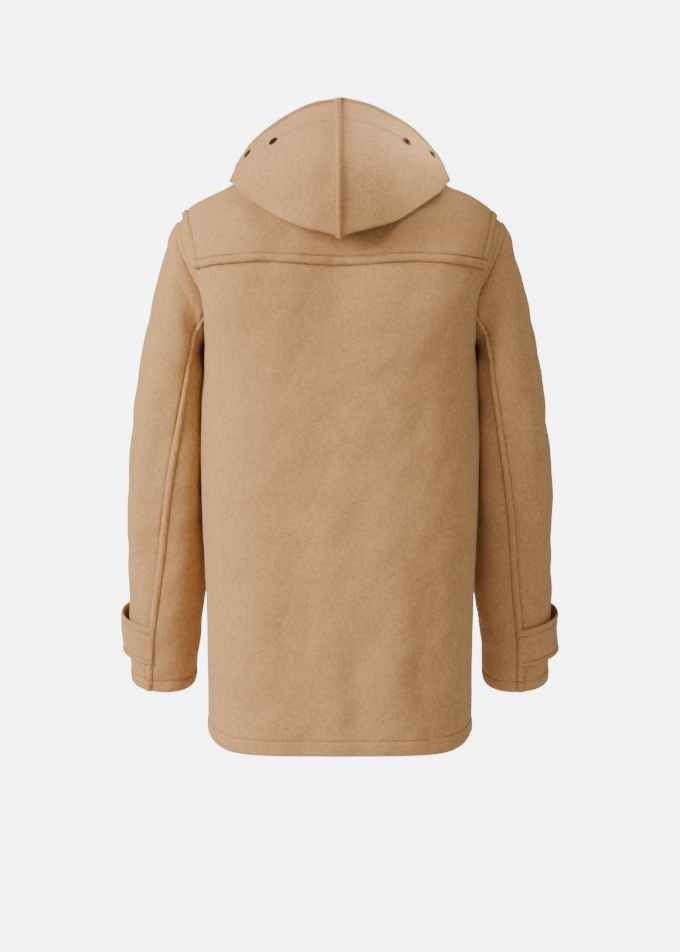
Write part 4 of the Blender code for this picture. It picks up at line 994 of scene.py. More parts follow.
def apply_modifier(piece, name, kind, **settings):
    """Adds a modifier and applies it."""
    select_only(piece)
    made = piece.modifiers.new(name, kind)
    for setting, value in settings.items():
        setattr(made, setting, value)
    bpy.ops.object.modifier_apply(modifier=name)


def cut_hole(piece, name, place=None):
    """Cuts the cylinder just added out of a piece, and removes it."""
    drill = bpy.context.object
    if place:
        drill.data.transform(place)
    apply_modifier(piece, name, "BOOLEAN", object=drill, solver="EXACT")
    bpy.data.objects.remove(drill)


def join_to(piece):
    """Joins what is selected to a piece."""
    piece.select_set(True)
    bpy.context.view_layer.objects.active = piece
    bpy.ops.object.join()


def placed_copy(model, node, slot, matrix):
    """A copy of a model with its own mesh, its place in the mesh, for one CAD node."""
    mesh = model.data.copy()
    mesh.name = f"{node}_{slot}"
    mesh.transform(matrix)
    ride_along(mesh.name, mesh, (node,))


def standing_at(spot, out, up=(0.0, 0.0, 1.0)):
    """The matrix that puts a model's Z along a direction out of the cloth, at a spot."""
    out = Vector(out).normalized()
    across = Vector(up).cross(out).normalized()
    over = out.cross(across)
    turned = Matrix((across, over, out)).transposed().to_4x4()
    return Matrix.Translation(spot) @ turned


def outer_face_tree(outside, outward):
    """The outer face of a piece of cloth, for finding what lies under a place."""
    return BVHTree.FromPolygons(outside.reshape(-1, 3).tolist(),
                                grid_quads(*outside.shape[:2], outward).tolist())


def antique_brass():
    """Spun brass, oxidised brown: dark in its hollows, with the brass showing where it is rubbed."""
    made, tree, shader, place = new_material("oxidised spun brass")
    # The oxide lies in blotches of about 2 mm, over polishing marks of a tenth of a millimetre.
    blotch = noise(tree, place, 480.0, 3.0)
    marks = noise(tree, place, 2600.0, 1.0)
    set_inputs(tree, shader, {
        "Base Color": two_tones(tree, blotch, 0.42, "2E2015", 0.66, "5E4228"),
        "Roughness": mapped(tree, marks, 0.30, 0.52), "Normal": bumps(tree, marks, 0.15, 0.0002),
        "Metallic": 1.0})
    return made


BRASS = antique_brass()

bpy.ops.object.select_all(action="DESELECT")
bpy.ops.mesh.primitive_torus_add(major_radius=EYELET_FLANGE / 2 - EYELET_RIM,
                                 minor_radius=EYELET_RIM, major_segments=40, minor_segments=14)
rim = take_primitive("eyelet rim", BRASS)
edit_where(rim, "VERT", lambda vertex: vertex.co.z < 0)
bpy.ops.transform.resize(value=(1, 1, 0.1), center_override=(0, 0, 0))
bpy.ops.mesh.select_all(action="SELECT")
bpy.ops.transform.resize(value=(1, 1, EYELET_HEIGHT_SHARE), center_override=(0, 0, 0))
bpy.ops.mesh.duplicate()
bpy.ops.transform.rotate(value=math.pi, orient_axis="X", center_override=(0, 0, -CLOTH / 2))
bpy.ops.object.mode_set(mode="OBJECT")

add_cylinder(40, EYELET_HOLE / 2 - BARREL_FREE, CLOTH, end_fill_type="NOTHING",
             location=(0, 0, -CLOTH / 2))
barrel = take_primitive("eyelet barrel", BRASS)
bpy.ops.object.transform_apply(location=True)
edit_where(barrel, "VERT", lambda vertex: vertex.co.z > -CLOTH / 2)
bpy.ops.mesh.extrude_region_move(TRANSFORM_OT_translate={"value": (0, 0, BARREL_LIP)})
bpy.ops.transform.resize(value=(BARREL_FLARE, BARREL_FLARE, 1), center_override=(0, 0, 0))
bpy.ops.object.mode_set(mode="OBJECT")
apply_modifier(barrel, "wall", "SOLIDIFY", thickness=EYELET_WALL, offset=-1)
join_to(rim)
rim.data.shade_smooth()

for side, hand in HANDS.items():
    hood = bpy.data.objects[f"hood_{hand}_cloth"]
    hood_tree = outer_face_tree(hood_faces[side][0], -side)
    for label, column, place in EYELETS:
        around = np.array([column / (len(HOOD_STATIONS) - 1)])
        middle = Vector(hood_grid(around, np.array([place]))[0, 0] * (side, 1, 1))
        near = hood_tree.find_nearest_range(middle, EYELET_FLANGE / 2)
        out = sum((normal for _, normal, _, _ in near), Vector()).normalized()
        spot = sum((found for found, _, _, _ in near), Vector()) / len(near)
        matrix = standing_at(spot - out * EYELET_SINK, out)
        placed_copy(rim, f"eyelet_{hand}_{label}", "brass", matrix)
        add_cylinder(32, EYELET_HOLE / 2, PUNCH_DEPTH)
        cut_hole(hood, f"{label} hole", matrix)
bpy.data.objects.remove(rim)


# ---------------------------------------------------------------- sleeves
# Each sleeve has a top and an under sleeve of melton.  At the back seam the top sleeve's edge is
# lapped over the under sleeve and stitched, which raises a welt from the armhole to the cuff.

SLEEVE_RINGS = (            # outer x and z, inner x and z, centre y, half depth, lean in degrees
    (0.2385, -0.080, 0.1935, -0.245, -0.002, 0.066, 0),
    (0.2500, -0.113, 0.2000, -0.262, -0.004, 0.072, 0),
    (0.2640, -0.163, 0.2010, -0.292, -0.009, 0.075, 0),
    (0.2810, -0.232, 0.2005, -0.337, -0.017, 0.074, 2),
    (0.2935, -0.301, 0.2000, -0.388, -0.026, 0.072, 4),
    (0.3035, -0.388, 0.1994, -0.452, -0.040, 0.070, 8),
    (0.3095, -0.474, 0.1985, -0.520, -0.056, 0.067, 12),
    (0.3125, -0.560, 0.1968, -0.592, -0.077, 0.063, 16),
    (0.3135, -0.655, 0.2075, -0.669, -0.101, 0.059, 19),
    (0.3128, -0.739, 0.2155, -0.7435, -0.123, 0.056, 20))
SLEEVE_ROUNDNESS = 2.25
ARMHOLE_LEVELS = (1.1, 1.22, 1.34, 1.46, 1.55, 1.64, 1.74, 1.84, 1.93, 2.0)
ARMHOLE_FADE = (0.085, 0.36)
ARMHOLE_ROWS = 9
BACK_SEAM, FRONT_SEAM, TURN = 8, 12, 18     # counted round the sleeve from the shoulder tip
BACK_SEAM_ANGLES = {LEFT: (140, 138, 134, 126, 117, 105, 96, 88, 81, 76),
                    RIGHT: (140, 138, 134, 127, 119, 109, 101, 95, 92, 92)}
FRONT_SEAM_ANGLE = 232
GIRTH = (-0.141, 0.0, 0.141, 0.282)         # over the cloth: front seam, outer edge, back, front
GIRTH_COUNTS = (FRONT_SEAM - TURN, 0, BACK_SEAM, FRONT_SEAM)
SLEEVE_PARTS = (            # name, from and to round the cloth, cut width and length, area
    ("sleeve_top", GIRTH[0], GIRTH[2], (0.29, 0.72), 0.146),
    ("sleeve_under", GIRTH[2], GIRTH[3], (0.15, 0.62), 0.075))
SLEEVE_LENGTH = 0.69
SLEEVE_DROP = 0.70          # the length that its folds' places are measured along
SLEEVE_ROW_STEP, SLEEVE_COLUMN_STEP = 0.0040, 0.0036
SLEEVE_START = 0.0005       # share at which its first row lies, just off the armhole
SLEEVE_SLACK = 1.3
SLEEVE_HEAD_PUFF = 0.0020   # beside the armhole's seam
WELT_BAND = 0.0118
WELT_PUFF = 0.0030
WELT_FURROW = 0.0020
CUFF_BAND = 0.018


def spread_angle(index, back_seam):
    """The angle round a ring for a count round the sleeve, so that the seams keep their counts."""
    before, behind = TURN - FRONT_SEAM, FRONT_SEAM - BACK_SEAM
    return ((360 - FRONT_SEAM_ANGLE) * np.clip(index / before, -1, 0)
            + back_seam * np.clip(index / BACK_SEAM, 0, 1)
            + (FRONT_SEAM_ANGLE - back_seam) * np.clip((index - BACK_SEAM) / behind, 0, 1))


def ring_points(shares, angles):
    """Points on plain sleeve rings, at shares down the sleeve and angles round it."""
    read = spline_at(SLEEVE_RINGS, shares * (len(SLEEVE_RINGS) - 1))[:, None, :]
    outer_x, outer_z, inner_x, inner_z, centre_y, half_depth, lean = np.moveaxis(read, -1, 0)
    cosine, sine = np.cos(np.radians(angles)), np.sin(np.radians(angles))
    across, back = (np.sign(value) * np.abs(value) ** (2 / SLEEVE_ROUNDNESS)
                    for value in (cosine, sine))
    lean = np.radians(lean)
    return np.stack(((outer_x + inner_x) / 2 + (outer_x - inner_x) / 2 * across,
                     centre_y + np.cos(lean) * half_depth * back,
                     (outer_z + inner_z) / 2 + (outer_z - inner_z) / 2 * across
                     - np.sin(lean) * half_depth * back), axis=-1)


def sleeve_grid(shares, index, side):
    """The sleeve's form: the armhole's own shape fades into plain rings."""
    wrapped = np.mod(index, TURN)
    level = spline_at(ARMHOLE_LEVELS, np.abs(ARMHOLE_ROWS - wrapped))
    share = ((level - UNDERARM_LEVEL) / (2.0 - UNDERARM_LEVEL)) ** ARMHOLE_PACE
    armhole = np.where(wrapped[:, None] <= ARMHOLE_ROWS, ARMHOLE[BACK](share), ARMHOLE[FRONT](share))
    angles = BACK_SEAM_ANGLES[side]
    seam = spline_at(angles, shares * (len(angles) - 1))[:, None]
    place = ring_points(shares, spread_angle(index[None, :], seam))
    first = ring_points(np.zeros(1), spread_angle(index[None, :], angles[0]))
    high_up = np.abs(ARMHOLE_ROWS - wrapped) / ARMHOLE_ROWS
    reach = ARMHOLE_FADE[0] + (ARMHOLE_FADE[1] - ARMHOLE_FADE[0]) * high_up
    fade = 1 - ease(shares[:, None] / reach[None, :])
    place = place + (armhole[None] - first) * fade[..., None]
    return place * (side, 1, 1)


SLEEVE_FOLDS = {            # round the cloth from the shoulder tip, and down from the armhole
    LEFT: (((0.174, -0.12), (0.176, -0.46), 0.022, 0.0068, 0.000),
           ((0.200, -0.02), (0.204, -0.22), 0.032, 0.0050, 0.000),
           ((0.060, -0.52), (0.075, -0.32), 0.030, 0.0026, 0.000),
           ((0.105, -0.30), (0.118, -0.54), 0.024, -0.0024, 0.004),
           ((0.000, -0.38), (0.000, -0.50), 0.034, 0.0026, 0.000)),
    RIGHT: (((0.174, -0.12), (0.176, -0.46), 0.022, 0.0064, 0.000),
            ((0.120, -0.24), (0.105, -0.42), 0.022, -0.0028, 0.006),
            ((0.070, -0.54), (0.060, -0.34), 0.030, 0.0026, 0.000),
            ((0.200, -0.02), (0.204, -0.22), 0.032, 0.0050, 0.000),
            ((0.000, -0.38), (0.000, -0.50), 0.034, 0.0026, 0.000))}

sleeve_shares = places(SLEEVE_LENGTH, end_marks=(CUFF_BAND,), step=SLEEVE_ROW_STEP) / SLEEVE_LENGTH
sleeve_shares = SLEEVE_START + sleeve_shares * (1 - SLEEVE_START)
for side, hand in HANDS.items():
    for part, start, stop, flat, area in SLEEVE_PARTS:
        marks = (WELT_BAND,) if part == "sleeve_top" else ()
        round_it = start + places(stop - start, end_marks=marks, step=SLEEVE_COLUMN_STEP)
        index = np.interp(round_it, GIRTH, GIRTH_COUNTS)
        grid = soften(sleeve_grid(sleeve_shares, index, side), 6)
        armhole_edge, cuff_edge, front_edge, back_edge = edge_reach(grid)
        if part == "sleeve_under":
            front_edge, back_edge = back_edge, front_edge
        round_it, down = np.broadcast_arrays(round_it, -sleeve_shares[:, None] * SLEEVE_DROP)
        moved = folds(round_it, down, SLEEVE_FOLDS[side]) + SLEEVE_SLACK * slack(grid, 5.0 + side)
        held = np.clip(armhole_edge / SEAM_HOLD, 0, 1)
        moves = (moved * ease(held) + SLEEVE_HEAD_PUFF * np.sin(math.pi * held)
                 + turned_edge(cuff_edge, front_edge, CUFF_BAND, puff=HEM_PUFF, seed=15 + side))
        if part == "sleeve_top":
            moves += turned_edge(back_edge, armhole_edge, WELT_BAND, WELT_PUFF, WELT_FURROW,
                                 17 + side)
        face, out = cloth_piece(f"{part}_{hand}", grid, moves, MELTON, -side)
        rows = [line_at(face, out, cuff_edge, CUFF_BAND, 0)]
        if part == "sleeve_top":
            rows.append(line_at(face, out, back_edge, WELT_BAND, 1))
        stitch_rows(f"{part}_{hand}_stitches", rows, THREAD_WITH_PAINTED_SHADE)


# ---------------------------------------------------------------- cuff straps
# A strap of two plies of melton is caught in each back sleeve seam.  It runs slack round the
# outside of the cuff, stitched near its edges, and is buttoned at the front.

STRAP_FROM_EDGE = 0.043
STRAP_HEIGHT = 0.055
SLEEVE_RUN = 0.75
STRAP_GIRTH = (0.138, 0.124, 0.108, 0.089, 0.070, 0.052, 0.033, 0.014, -0.005, -0.024, -0.042,
               -0.061, -0.075)
STRAP_STAND_OFF = (0.0007, 0.0012, 0.0018, 0.0026, 0.0040, 0.0058, 0.0074, 0.0084, 0.0080,
                   0.0062, 0.0044, 0.0026, 0.0018)
STRAP_BANDS = (0.0100, 0.0065)      # rows of stitches below its upper and above its lower edge
STRAP_STEP = 0.0030
STRAP_PUFF = 0.0010
STRAP_END_PUFF = 0.0008

strap_low = 1.0 - STRAP_FROM_EDGE / SLEEVE_RUN
strap_down = places(STRAP_HEIGHT, STRAP_BANDS[:1], STRAP_BANDS[1:], step=STRAP_STEP)
strap_shares = strap_low - (STRAP_HEIGHT - strap_down) / SLEEVE_RUN
strap_along = STRAP_GIRTH[0] - places(STRAP_GIRTH[0] - STRAP_GIRTH[-1],
                                      end_marks=(STRAP_BANDS[1],), step=STRAP_STEP)
strap_index = np.interp(strap_along, GIRTH, GIRTH_COUNTS)
strap_place = np.interp(strap_along, STRAP_GIRTH[::-1], np.arange(len(STRAP_GIRTH)))
strap_off = spline_at(STRAP_STAND_OFF[::-1], strap_place)
strap_faces = {}
for side, hand in HANDS.items():
    name = f"cuff_strap_{hand}"
    base = sleeve_grid(strap_shares, strap_index, side)
    out = facing(base, side)
    top_edge_reach, low_edge, seam_end, free_end = edge_reach(base)
    moves = (turned_edge(top_edge_reach, seam_end, STRAP_BANDS[0], puff=STRAP_PUFF, seed=20 + side)
             + turned_edge(low_edge, seam_end, STRAP_BANDS[1], puff=STRAP_PUFF, seed=22 + side)
             + turned_edge(free_end, low_edge, STRAP_BANDS[1], puff=STRAP_END_PUFF, seed=24)
             + 1.5 * slack(base, 8.0 + side))
    off = strap_off[None, :] * np.ones_like(moves)
    face, out = cloth_piece(name, base, moves + off + CLOTH, MELTON, side,
                            inner_relief=off + CLOTH, out=out)
    strap_faces[side] = (face, out)
    stitch_rows(f"{name}_stitches", [line_at(face, out, top_edge_reach, STRAP_BANDS[0], 0),
                                     line_at(face, out, low_edge, STRAP_BANDS[1], 0)], THREAD_WITH_PAINTED_SHADE)


# ---------------------------------------------------------------- cuff buttons
# Each strap ends at the front of the cuff under a horn button, turned with a raised rim and sewn
# on through four holes.

BUTTON_RADIUS = 0.010
BUTTON_THICKNESS = 0.0035
BUTTON_RIM = 0.0019
BUTTON_DISH = 0.0009
BUTTON_HOLE = 0.0009        # radius of each hole
BUTTON_HOLE_OUT = 0.0021    # from the middle to each hole
BUTTON_BEVEL = 0.0005
BUTTON_TAPER = 0.93         # width of its dish at the bottom, as a share of that at the top
BUTTON_THREAD_RADIUS = 0.0005
BUTTON_THREAD_RISE = 0.0003
BUTTON_OFF = 0.0003
DRILL_DEPTH = 0.010
BUTTON_GIRTH = -0.061       # its place round the cuff


def polished_horn():
    """Buffalo horn, cut and buffed: dark brown with paler streaks along it, and a soft gloss."""
    made, tree, shader, place = new_material("buffed horn")
    # Horn is layered along its length, so its streaks are about 1 mm wide and 12 mm long.
    stretch = add_node(tree, "ShaderNodeMapping", {"Vector": place, "Scale": (900.0, 900.0, 80.0)})
    streak = noise(tree, stretch.outputs["Vector"], 1.0, 4.0, Distortion=0.6)
    tone = weighed(tree, streak, 0.6, (noise(tree, place, 70.0, 2.0), 0.4))
    set_inputs(tree, shader, {
        "Base Color": two_tones(tree, tone, 0.40, "23170F", 0.68, "7A5836"),
        "Roughness": mapped(tree, streak, 0.22, 0.42), "Normal": bumps(tree, streak, 0.12, 0.0003),
        "IOR": 1.56})
    return made


HORN = polished_horn()

add_cylinder(48, BUTTON_RADIUS, BUTTON_THICKNESS, location=(0, 0, BUTTON_THICKNESS / 2))
button = take_primitive("cuff button", HORN)
bpy.ops.object.transform_apply(location=True)
edit_where(button, "FACE", lambda face: face.normal.z > 0.9)
bpy.ops.mesh.inset(thickness=BUTTON_RIM)
bpy.ops.transform.translate(value=(0, 0, -BUTTON_DISH))
bpy.ops.transform.resize(value=(BUTTON_TAPER, BUTTON_TAPER, 1),
                         center_override=(0, 0, BUTTON_THICKNESS))
bpy.ops.object.mode_set(mode="OBJECT")
apply_modifier(button, "rounded", "BEVEL", width=BUTTON_BEVEL, segments=3, limit_method="ANGLE")
for turn in range(4):
    angle = math.pi / 4 + turn * math.pi / 2
    add_cylinder(16, BUTTON_HOLE, DRILL_DEPTH, location=(BUTTON_HOLE_OUT * math.cos(angle),
                                                         BUTTON_HOLE_OUT * math.sin(angle), 0))
    cut_hole(button, "sewing hole")
thread_height = BUTTON_THICKNESS - BUTTON_DISH + BUTTON_THREAD_RISE
for level in (-1, 1):
    add_cylinder(10, BUTTON_THREAD_RADIUS, 2 * BUTTON_HOLE_OUT, rotation=(0, math.pi / 2, 0),
                 location=(0, level * BUTTON_HOLE_OUT * 0.7, thread_height))
    take_primitive(f"button thread {level}", THREAD_WITH_PAINTED_SHADE)
    bpy.ops.object.transform_apply()
    bpy.ops.object.shade_smooth()
    join_to(button)
select_only(button)
bpy.ops.object.shade_smooth_by_angle(angle=math.radians(35))

for side, hand in HANDS.items():
    face, out = strap_faces[side]
    row = int(np.argmin(np.abs(strap_down - STRAP_HEIGHT / 2)))
    column = int(np.argmin(np.abs(strap_along - BUTTON_GIRTH)))
    around = (slice(row - 2, row + 3), slice(column - 2, column + 3))
    normal = unit(out[around].mean(axis=(0, 1)))
    spot = face[around].mean(axis=(0, 1)) + normal * BUTTON_OFF
    placed_copy(button, f"cuff_button_{hand}", "horn", standing_at(spot, normal))
bpy.data.objects.remove(button)


# ---------------------------------------------------------------- leather patches
# Four closures each have two patches of brown leather.  A patch is cut with round corners, pared
# at its edge and stitched down over the ends of a cord.

CLOSURE_HEIGHTS = (-0.185, -0.315, -0.445, -0.575)
PATCH_WIDTH = 0.045
PATCH_HEIGHT = 0.030
PATCH_THICKNESS = 0.002
PATCH_LEFT_X = 0.070        # middles of the patches
PATCH_RIGHT_X = -0.092
PATCH_OFF = 0.0008
PATCH_ROUNDNESS = 7.0
PATCH_BAND = 0.0032
PATCH_STEP = 0.0018
PATCH_PARED = 0.0012        # radius of its pared edge
PATCH_FURROW = 0.0005
PATCH_FURROW_WIDTH = 0.0007
PATCH_EDGE_WALL = 0.0008    # its least thickness
CORD_RIDGE = 0.0016         # how far a patch rises over a cord's end
CORD_RIDGE_WIDTH = 0.0030
CORD_RIDGE_START, CORD_RIDGE_FADE = 0.004, 0.016
NORMAL_REACH = 0.008        # how far round a place the cloth's direction is read
CORD_RADIUS = 0.0025
LOOP_HALF_HEIGHT = 0.0105
STRAND_HALF_HEIGHT = 0.005  # the toggle's own cord: two strands, one over the other


def brown_leather():
    """Chrome-tanned cowhide: pebbled grain, darker in its creases, with a low waxy shine."""
    made, tree, shader, place = new_material("pebbled brown cowhide")
    # The grain's pebbles are about 0.9 mm across.
    pebble = add_node(tree, "ShaderNodeTexVoronoi", {"Vector": place, "Scale": 1100.0},
                      feature="SMOOTH_F1").outputs["Distance"]
    cloud = noise(tree, place, 90.0, 3.0)
    set_inputs(tree, shader, {
        "Base Color": two_tones(tree, cloud, 0.35, "38220F", 0.68, "5E3C20"),
        "Roughness": mapped(tree, pebble, 0.42, 0.62),
        "Normal": bumps(tree, pebble, 0.35, 0.0004, invert=True), "IOR": 1.5})
    return made


LEATHER = brown_leather()
PATCH_THREAD = camel_melton("waxed linen thread", "6B4A2C", "7F5C3A", "5A3C22", "9A7550")
FRONT_TREES = {side: outer_face_tree(front_faces[side], side) for side in (LEFT, RIGHT)}


def under_front(x, height):
    """Where a line from straight ahead meets the fronts, and the cloth's direction there."""
    hits = [tree.ray_cast(Vector((x, -1, height)), Vector((0, 1, 0)))[:2]
            for tree in FRONT_TREES.values()]
    return min((hit for hit in hits if hit[0]), key=lambda hit: hit[0].y)


def on_front(x, height, off):
    """A point that stands off the fronts, and the direction out of the cloth there."""
    out = Vector()
    for shift_x, shift_z in ((-1, 0), (1, 0), (0, -1), (0, 1)):
        out += under_front(x + shift_x * NORMAL_REACH, height + shift_z * NORMAL_REACH)[1]
    spot, _ = under_front(x, height)
    out.normalize()
    return spot + out * off, out


def make_patch(name, middle_x, height, inward, strand_height):
    """A leather patch over the ends of two strands that come in at its inner edge."""
    across, down = (2 * places(size, (PATCH_BAND,), (PATCH_BAND,), step=PATCH_STEP) / size - 1
                    for size in (PATCH_WIDTH, PATCH_HEIGHT))
    across, down = np.meshgrid(across, down)
    corner = np.maximum(np.abs(across), np.abs(down)) + 1e-9
    shrink = (np.abs(across / corner) ** PATCH_ROUNDNESS
              + np.abs(down / corner) ** PATCH_ROUNDNESS) ** (-1 / PATCH_ROUNDNESS)
    reach_x, reach_z = across * shrink * PATCH_WIDTH / 2, down * shrink * PATCH_HEIGHT / 2
    edge = (1 - corner) * PATCH_HEIGHT / 2
    strand = np.exp(-((np.abs(reach_z) - strand_height) / CORD_RIDGE_WIDTH) ** 2)
    ridge = CORD_RIDGE * strand * ease((reach_x * inward + CORD_RIDGE_START) / CORD_RIDGE_FADE)
    moves = (PATCH_OFF + PATCH_THICKNESS + ridge - rounding(edge, PATCH_PARED)
             - PATCH_FURROW * np.exp(-((edge - PATCH_BAND) / PATCH_FURROW_WIDTH) ** 2))
    read = [[on_front(middle_x + x, height + z, 0.0) for x, z in zip(*pair)]
            for pair in zip(reach_x, reach_z)]
    base = np.array([[spot for spot, _ in row] for row in read])
    out = np.array([[normal for _, normal in row] for row in read])
    outside = base + out * moves[..., None]
    inside = base + out * np.minimum(moves - PATCH_EDGE_WALL, PATCH_OFF + ridge * 0.6)[..., None]
    closed_wall(f"{name}_leather", outside.reshape(-1, 3), inside.reshape(-1, 3),
                grid_quads(*edge.shape, -1), LEATHER, (name,))
    ring = edge_loop(edge, PATCH_BAND)
    line, normals = (np.array([array[spot] for spot in ring]) for array in (outside, out))
    stitch_rows(f"{name}_stitches", [(line, normals)], PATCH_THREAD)


def edge_loop(edge, band):
    """The grid places that run round a patch at one distance from its edge."""
    row = int(np.argmin(np.abs(edge[:edge.shape[0] // 2, edge.shape[1] // 2] - band)))
    column = int(np.argmin(np.abs(edge[edge.shape[0] // 2, :edge.shape[1] // 2] - band)))
    last_row, last_column = edge.shape[0] - 1 - row, edge.shape[1] - 1 - column
    return ([(row, at) for at in range(column, last_column)]
            + [(at, last_column) for at in range(row, last_row)]
            + [(last_row, at) for at in range(last_column, column, -1)]
            + [(at, column) for at in range(last_row, row - 1, -1)])


for number, height in enumerate(CLOSURE_HEIGHTS, start=1):
    make_patch(f"patch_left_{number}", PATCH_LEFT_X, height, -1, LOOP_HALF_HEIGHT)
    make_patch(f"patch_right_{number}", PATCH_RIGHT_X, height, 1, STRAND_HALF_HEIGHT)


# ---------------------------------------------------------------- loops and toggle cords
# A loop of waxed cotton cord, laid up from three strands, comes out of each left patch.  The
# cord out of each right patch goes through two holes in its toggle and back.

CORD_STEP = 0.0008
CORD_LAY = 0.0085           # length of one turn of a strand
CORD_SIDES = 18
CORD_SIDEWAYS = (0.12, 1.0, 0.07)   # near to straight out of the fronts, and along no cord
CORD_LAY_DEPTH = 0.20       # how deep the lay between strands is, as a share of the radius
ON_CLOTH = 0.0034           # from the cloth to the middle of a cord that lies on it
TOGGLE_RADIUS = 0.0075
TOGGLE_FREE = 0.0009        # room between a toggle and the loop under it
TOGGLE_OUT = ON_CLOTH + CORD_RADIUS + TOGGLE_RADIUS + TOGGLE_FREE
TOGGLE_X = -0.004
LOOP_END_X = -0.017
CORD_TUCK = 0.004           # how far a cord's ends run in under their patch
CORD_PRESS = 0.0006         # how far its patch presses a cord's end in
CORD_BEND = 0.0015          # how sharply it turns back behind the toggle
CORD_PINCH = 0.6            # how near its strands come there, of their distance elsewhere
CORD_RUN_IN = 0.008         # from a cord's end to where it lies free


def waxed_cord():
    """Cotton cord, waxed and brown: matte fibres along each strand, dark in the lay between."""
    made, tree, shader, place = new_material("waxed three-strand cotton")
    # The yarns of a strand are 0.4 mm across.
    yarn = noise(tree, place, 1900.0, 2.0, Distortion=0.4)
    mixed = add_node(tree, "ShaderNodeMix", {"Factor": 0.4, "A": yarn,
                                             "B": noise(tree, place, 160.0, 2.0)})
    set_inputs(tree, shader, {
        "Base Color": two_tones(tree, mixed.outputs["Result"], 0.36, "4A3420", 0.64, "7C5C3C"),
        "Normal": bumps(tree, yarn, 0.35, 0.0003), "Roughness": 0.70, "Sheen Weight": 0.15})
    return made


CORD = waxed_cord()


def laid_cord(name, keys):
    """A cord of three strands along a smooth route, as one closed tube with a turning section."""
    curve = smooth_curve(keys)
    line = curve(np.linspace(0, 1, int(curve.length / CORD_STEP)))
    ahead = unit(np.gradient(line, axis=0))
    over = unit(np.cross(ahead, np.array(CORD_SIDEWAYS)))
    upward = np.cross(over, ahead)
    angles = np.linspace(0, 2 * math.pi, CORD_SIDES, endpoint=False)
    turned = np.linspace(0, curve.length, len(line)) * 2 * math.pi / CORD_LAY
    lobes = np.abs(np.cos(1.5 * (angles[None, :] - turned[:, None])))
    radius = CORD_RADIUS * (1 - CORD_LAY_DEPTH + CORD_LAY_DEPTH * lobes ** 0.7)[..., None]
    rings = line[:, None] + radius * (over[:, None] * np.cos(angles)[None, :, None]
                                      + upward[:, None] * np.sin(angles)[None, :, None])
    count = len(angles)
    index = np.arange(rings[..., 0].size).reshape(len(line), count)
    after = np.roll(index, -1, axis=1)
    faces = np.stack((index[:-1], after[:-1], after[1:], index[1:]), axis=-1).reshape(-1, 4)
    ends = [index[0, ::-1].tolist(), index[-1].tolist()]
    smooth_piece(f"{name}_cord", rings.reshape(-1, 3).tolist(), faces.tolist() + ends, CORD,
                 (name,))


def hairpin(run, turn=()):
    """A route out along a run above the middle, round its turn, and back below the middle."""
    return run + list(turn) + [(x, -up, off) for x, up, off in reversed(run)]


def on_fronts(route, height):
    """The points of a route whose own points are given as x, rise and distance off the fronts."""
    return [tuple(on_front(x, height + up, off)[0]) for x, up, off in route]


loop_start = PATCH_LEFT_X - PATCH_WIDTH / 2 + CORD_TUCK
loop_turn = LOOP_END_X + LOOP_HALF_HEIGHT
cord_start = PATCH_RIGHT_X + PATCH_WIDTH / 2 - CORD_TUCK
toggle_far = TOGGLE_X + TOGGLE_RADIUS + CORD_RADIUS * 0.8
for number, height in enumerate(CLOSURE_HEIGHTS, start=1):
    half = LOOP_HALF_HEIGHT
    bend = [(loop_turn + (LOOP_END_X - loop_turn) * math.sin(angle), half * math.cos(angle),
             ON_CLOTH) for angle in np.radians((30, 60, 90, 120, 150))]
    run = [(loop_start, half, ON_CLOTH - CORD_PRESS), (loop_start - CORD_RUN_IN, half, ON_CLOTH),
           (0.020, half * 0.97, ON_CLOTH), (loop_turn, half, ON_CLOTH)]
    laid_cord(f"loop_{number}", on_fronts(hairpin(run, bend), height))
    half = STRAND_HALF_HEIGHT
    run = [(cord_start, half, ON_CLOTH - CORD_PRESS), (cord_start + CORD_RUN_IN, half, ON_CLOTH),
           (-0.047, half, ON_CLOTH + 0.0010), (-0.036, half, 0.0080), (-0.025, half, 0.0128),
           (-0.016, half, TOGGLE_OUT), (TOGGLE_X, half, TOGGLE_OUT),
           (toggle_far - CORD_BEND, half, TOGGLE_OUT),
           (toggle_far, half * CORD_PINCH, TOGGLE_OUT)]
    laid_cord(f"toggle_cord_{number}", on_fronts(hairpin(run), height))


# ---------------------------------------------------------------- toggles
# Four toggles are turned from horn, thickest in the middle with blunt ends, and drilled twice
# across for their cord.

TOGGLE_LENGTH = 0.062
TOGGLE_WAIST = 0.34         # share of the length that is nearly straight
TOGGLE_HOLE_FREE = 0.0002
TOGGLE_DRILL_DEPTH = 0.030
TOGGLE_STEPS = (            # share of the half length, share of the radius
    (0.62, 0.88), (0.82, 0.70), (0.94, 0.56), (1.00, 0.30))

add_cylinder(16, TOGGLE_RADIUS, TOGGLE_LENGTH * TOGGLE_WAIST)
toggle = take_primitive("toggle", HORN)
for end in (-1, 1):
    edit_where(toggle, "FACE", lambda face: face.normal.z * end > 0.9)
    height = TOGGLE_LENGTH / 2 * TOGGLE_WAIST
    share = 1.0
    for along, radius_share in TOGGLE_STEPS:
        rise = TOGGLE_LENGTH / 2 * along - height
        bpy.ops.mesh.extrude_region_move(TRANSFORM_OT_translate={"value": (0, 0, end * rise)})
        grow = radius_share / share
        bpy.ops.transform.resize(value=(grow, grow, 1), center_override=(0, 0, 0))
        height, share = TOGGLE_LENGTH / 2 * along, radius_share
    bpy.ops.object.mode_set(mode="OBJECT")
apply_modifier(toggle, "turned smooth", "SUBSURF", levels=2, render_levels=2)
for level in (-1, 1):
    add_cylinder(24, CORD_RADIUS + TOGGLE_HOLE_FREE, TOGGLE_DRILL_DEPTH,
                 location=(0, 0, level * STRAND_HALF_HEIGHT), rotation=(0, math.pi / 2, 0))
    cut_hole(toggle, "cord hole")
select_only(toggle)
bpy.ops.object.shade_smooth_by_angle(angle=math.radians(40))

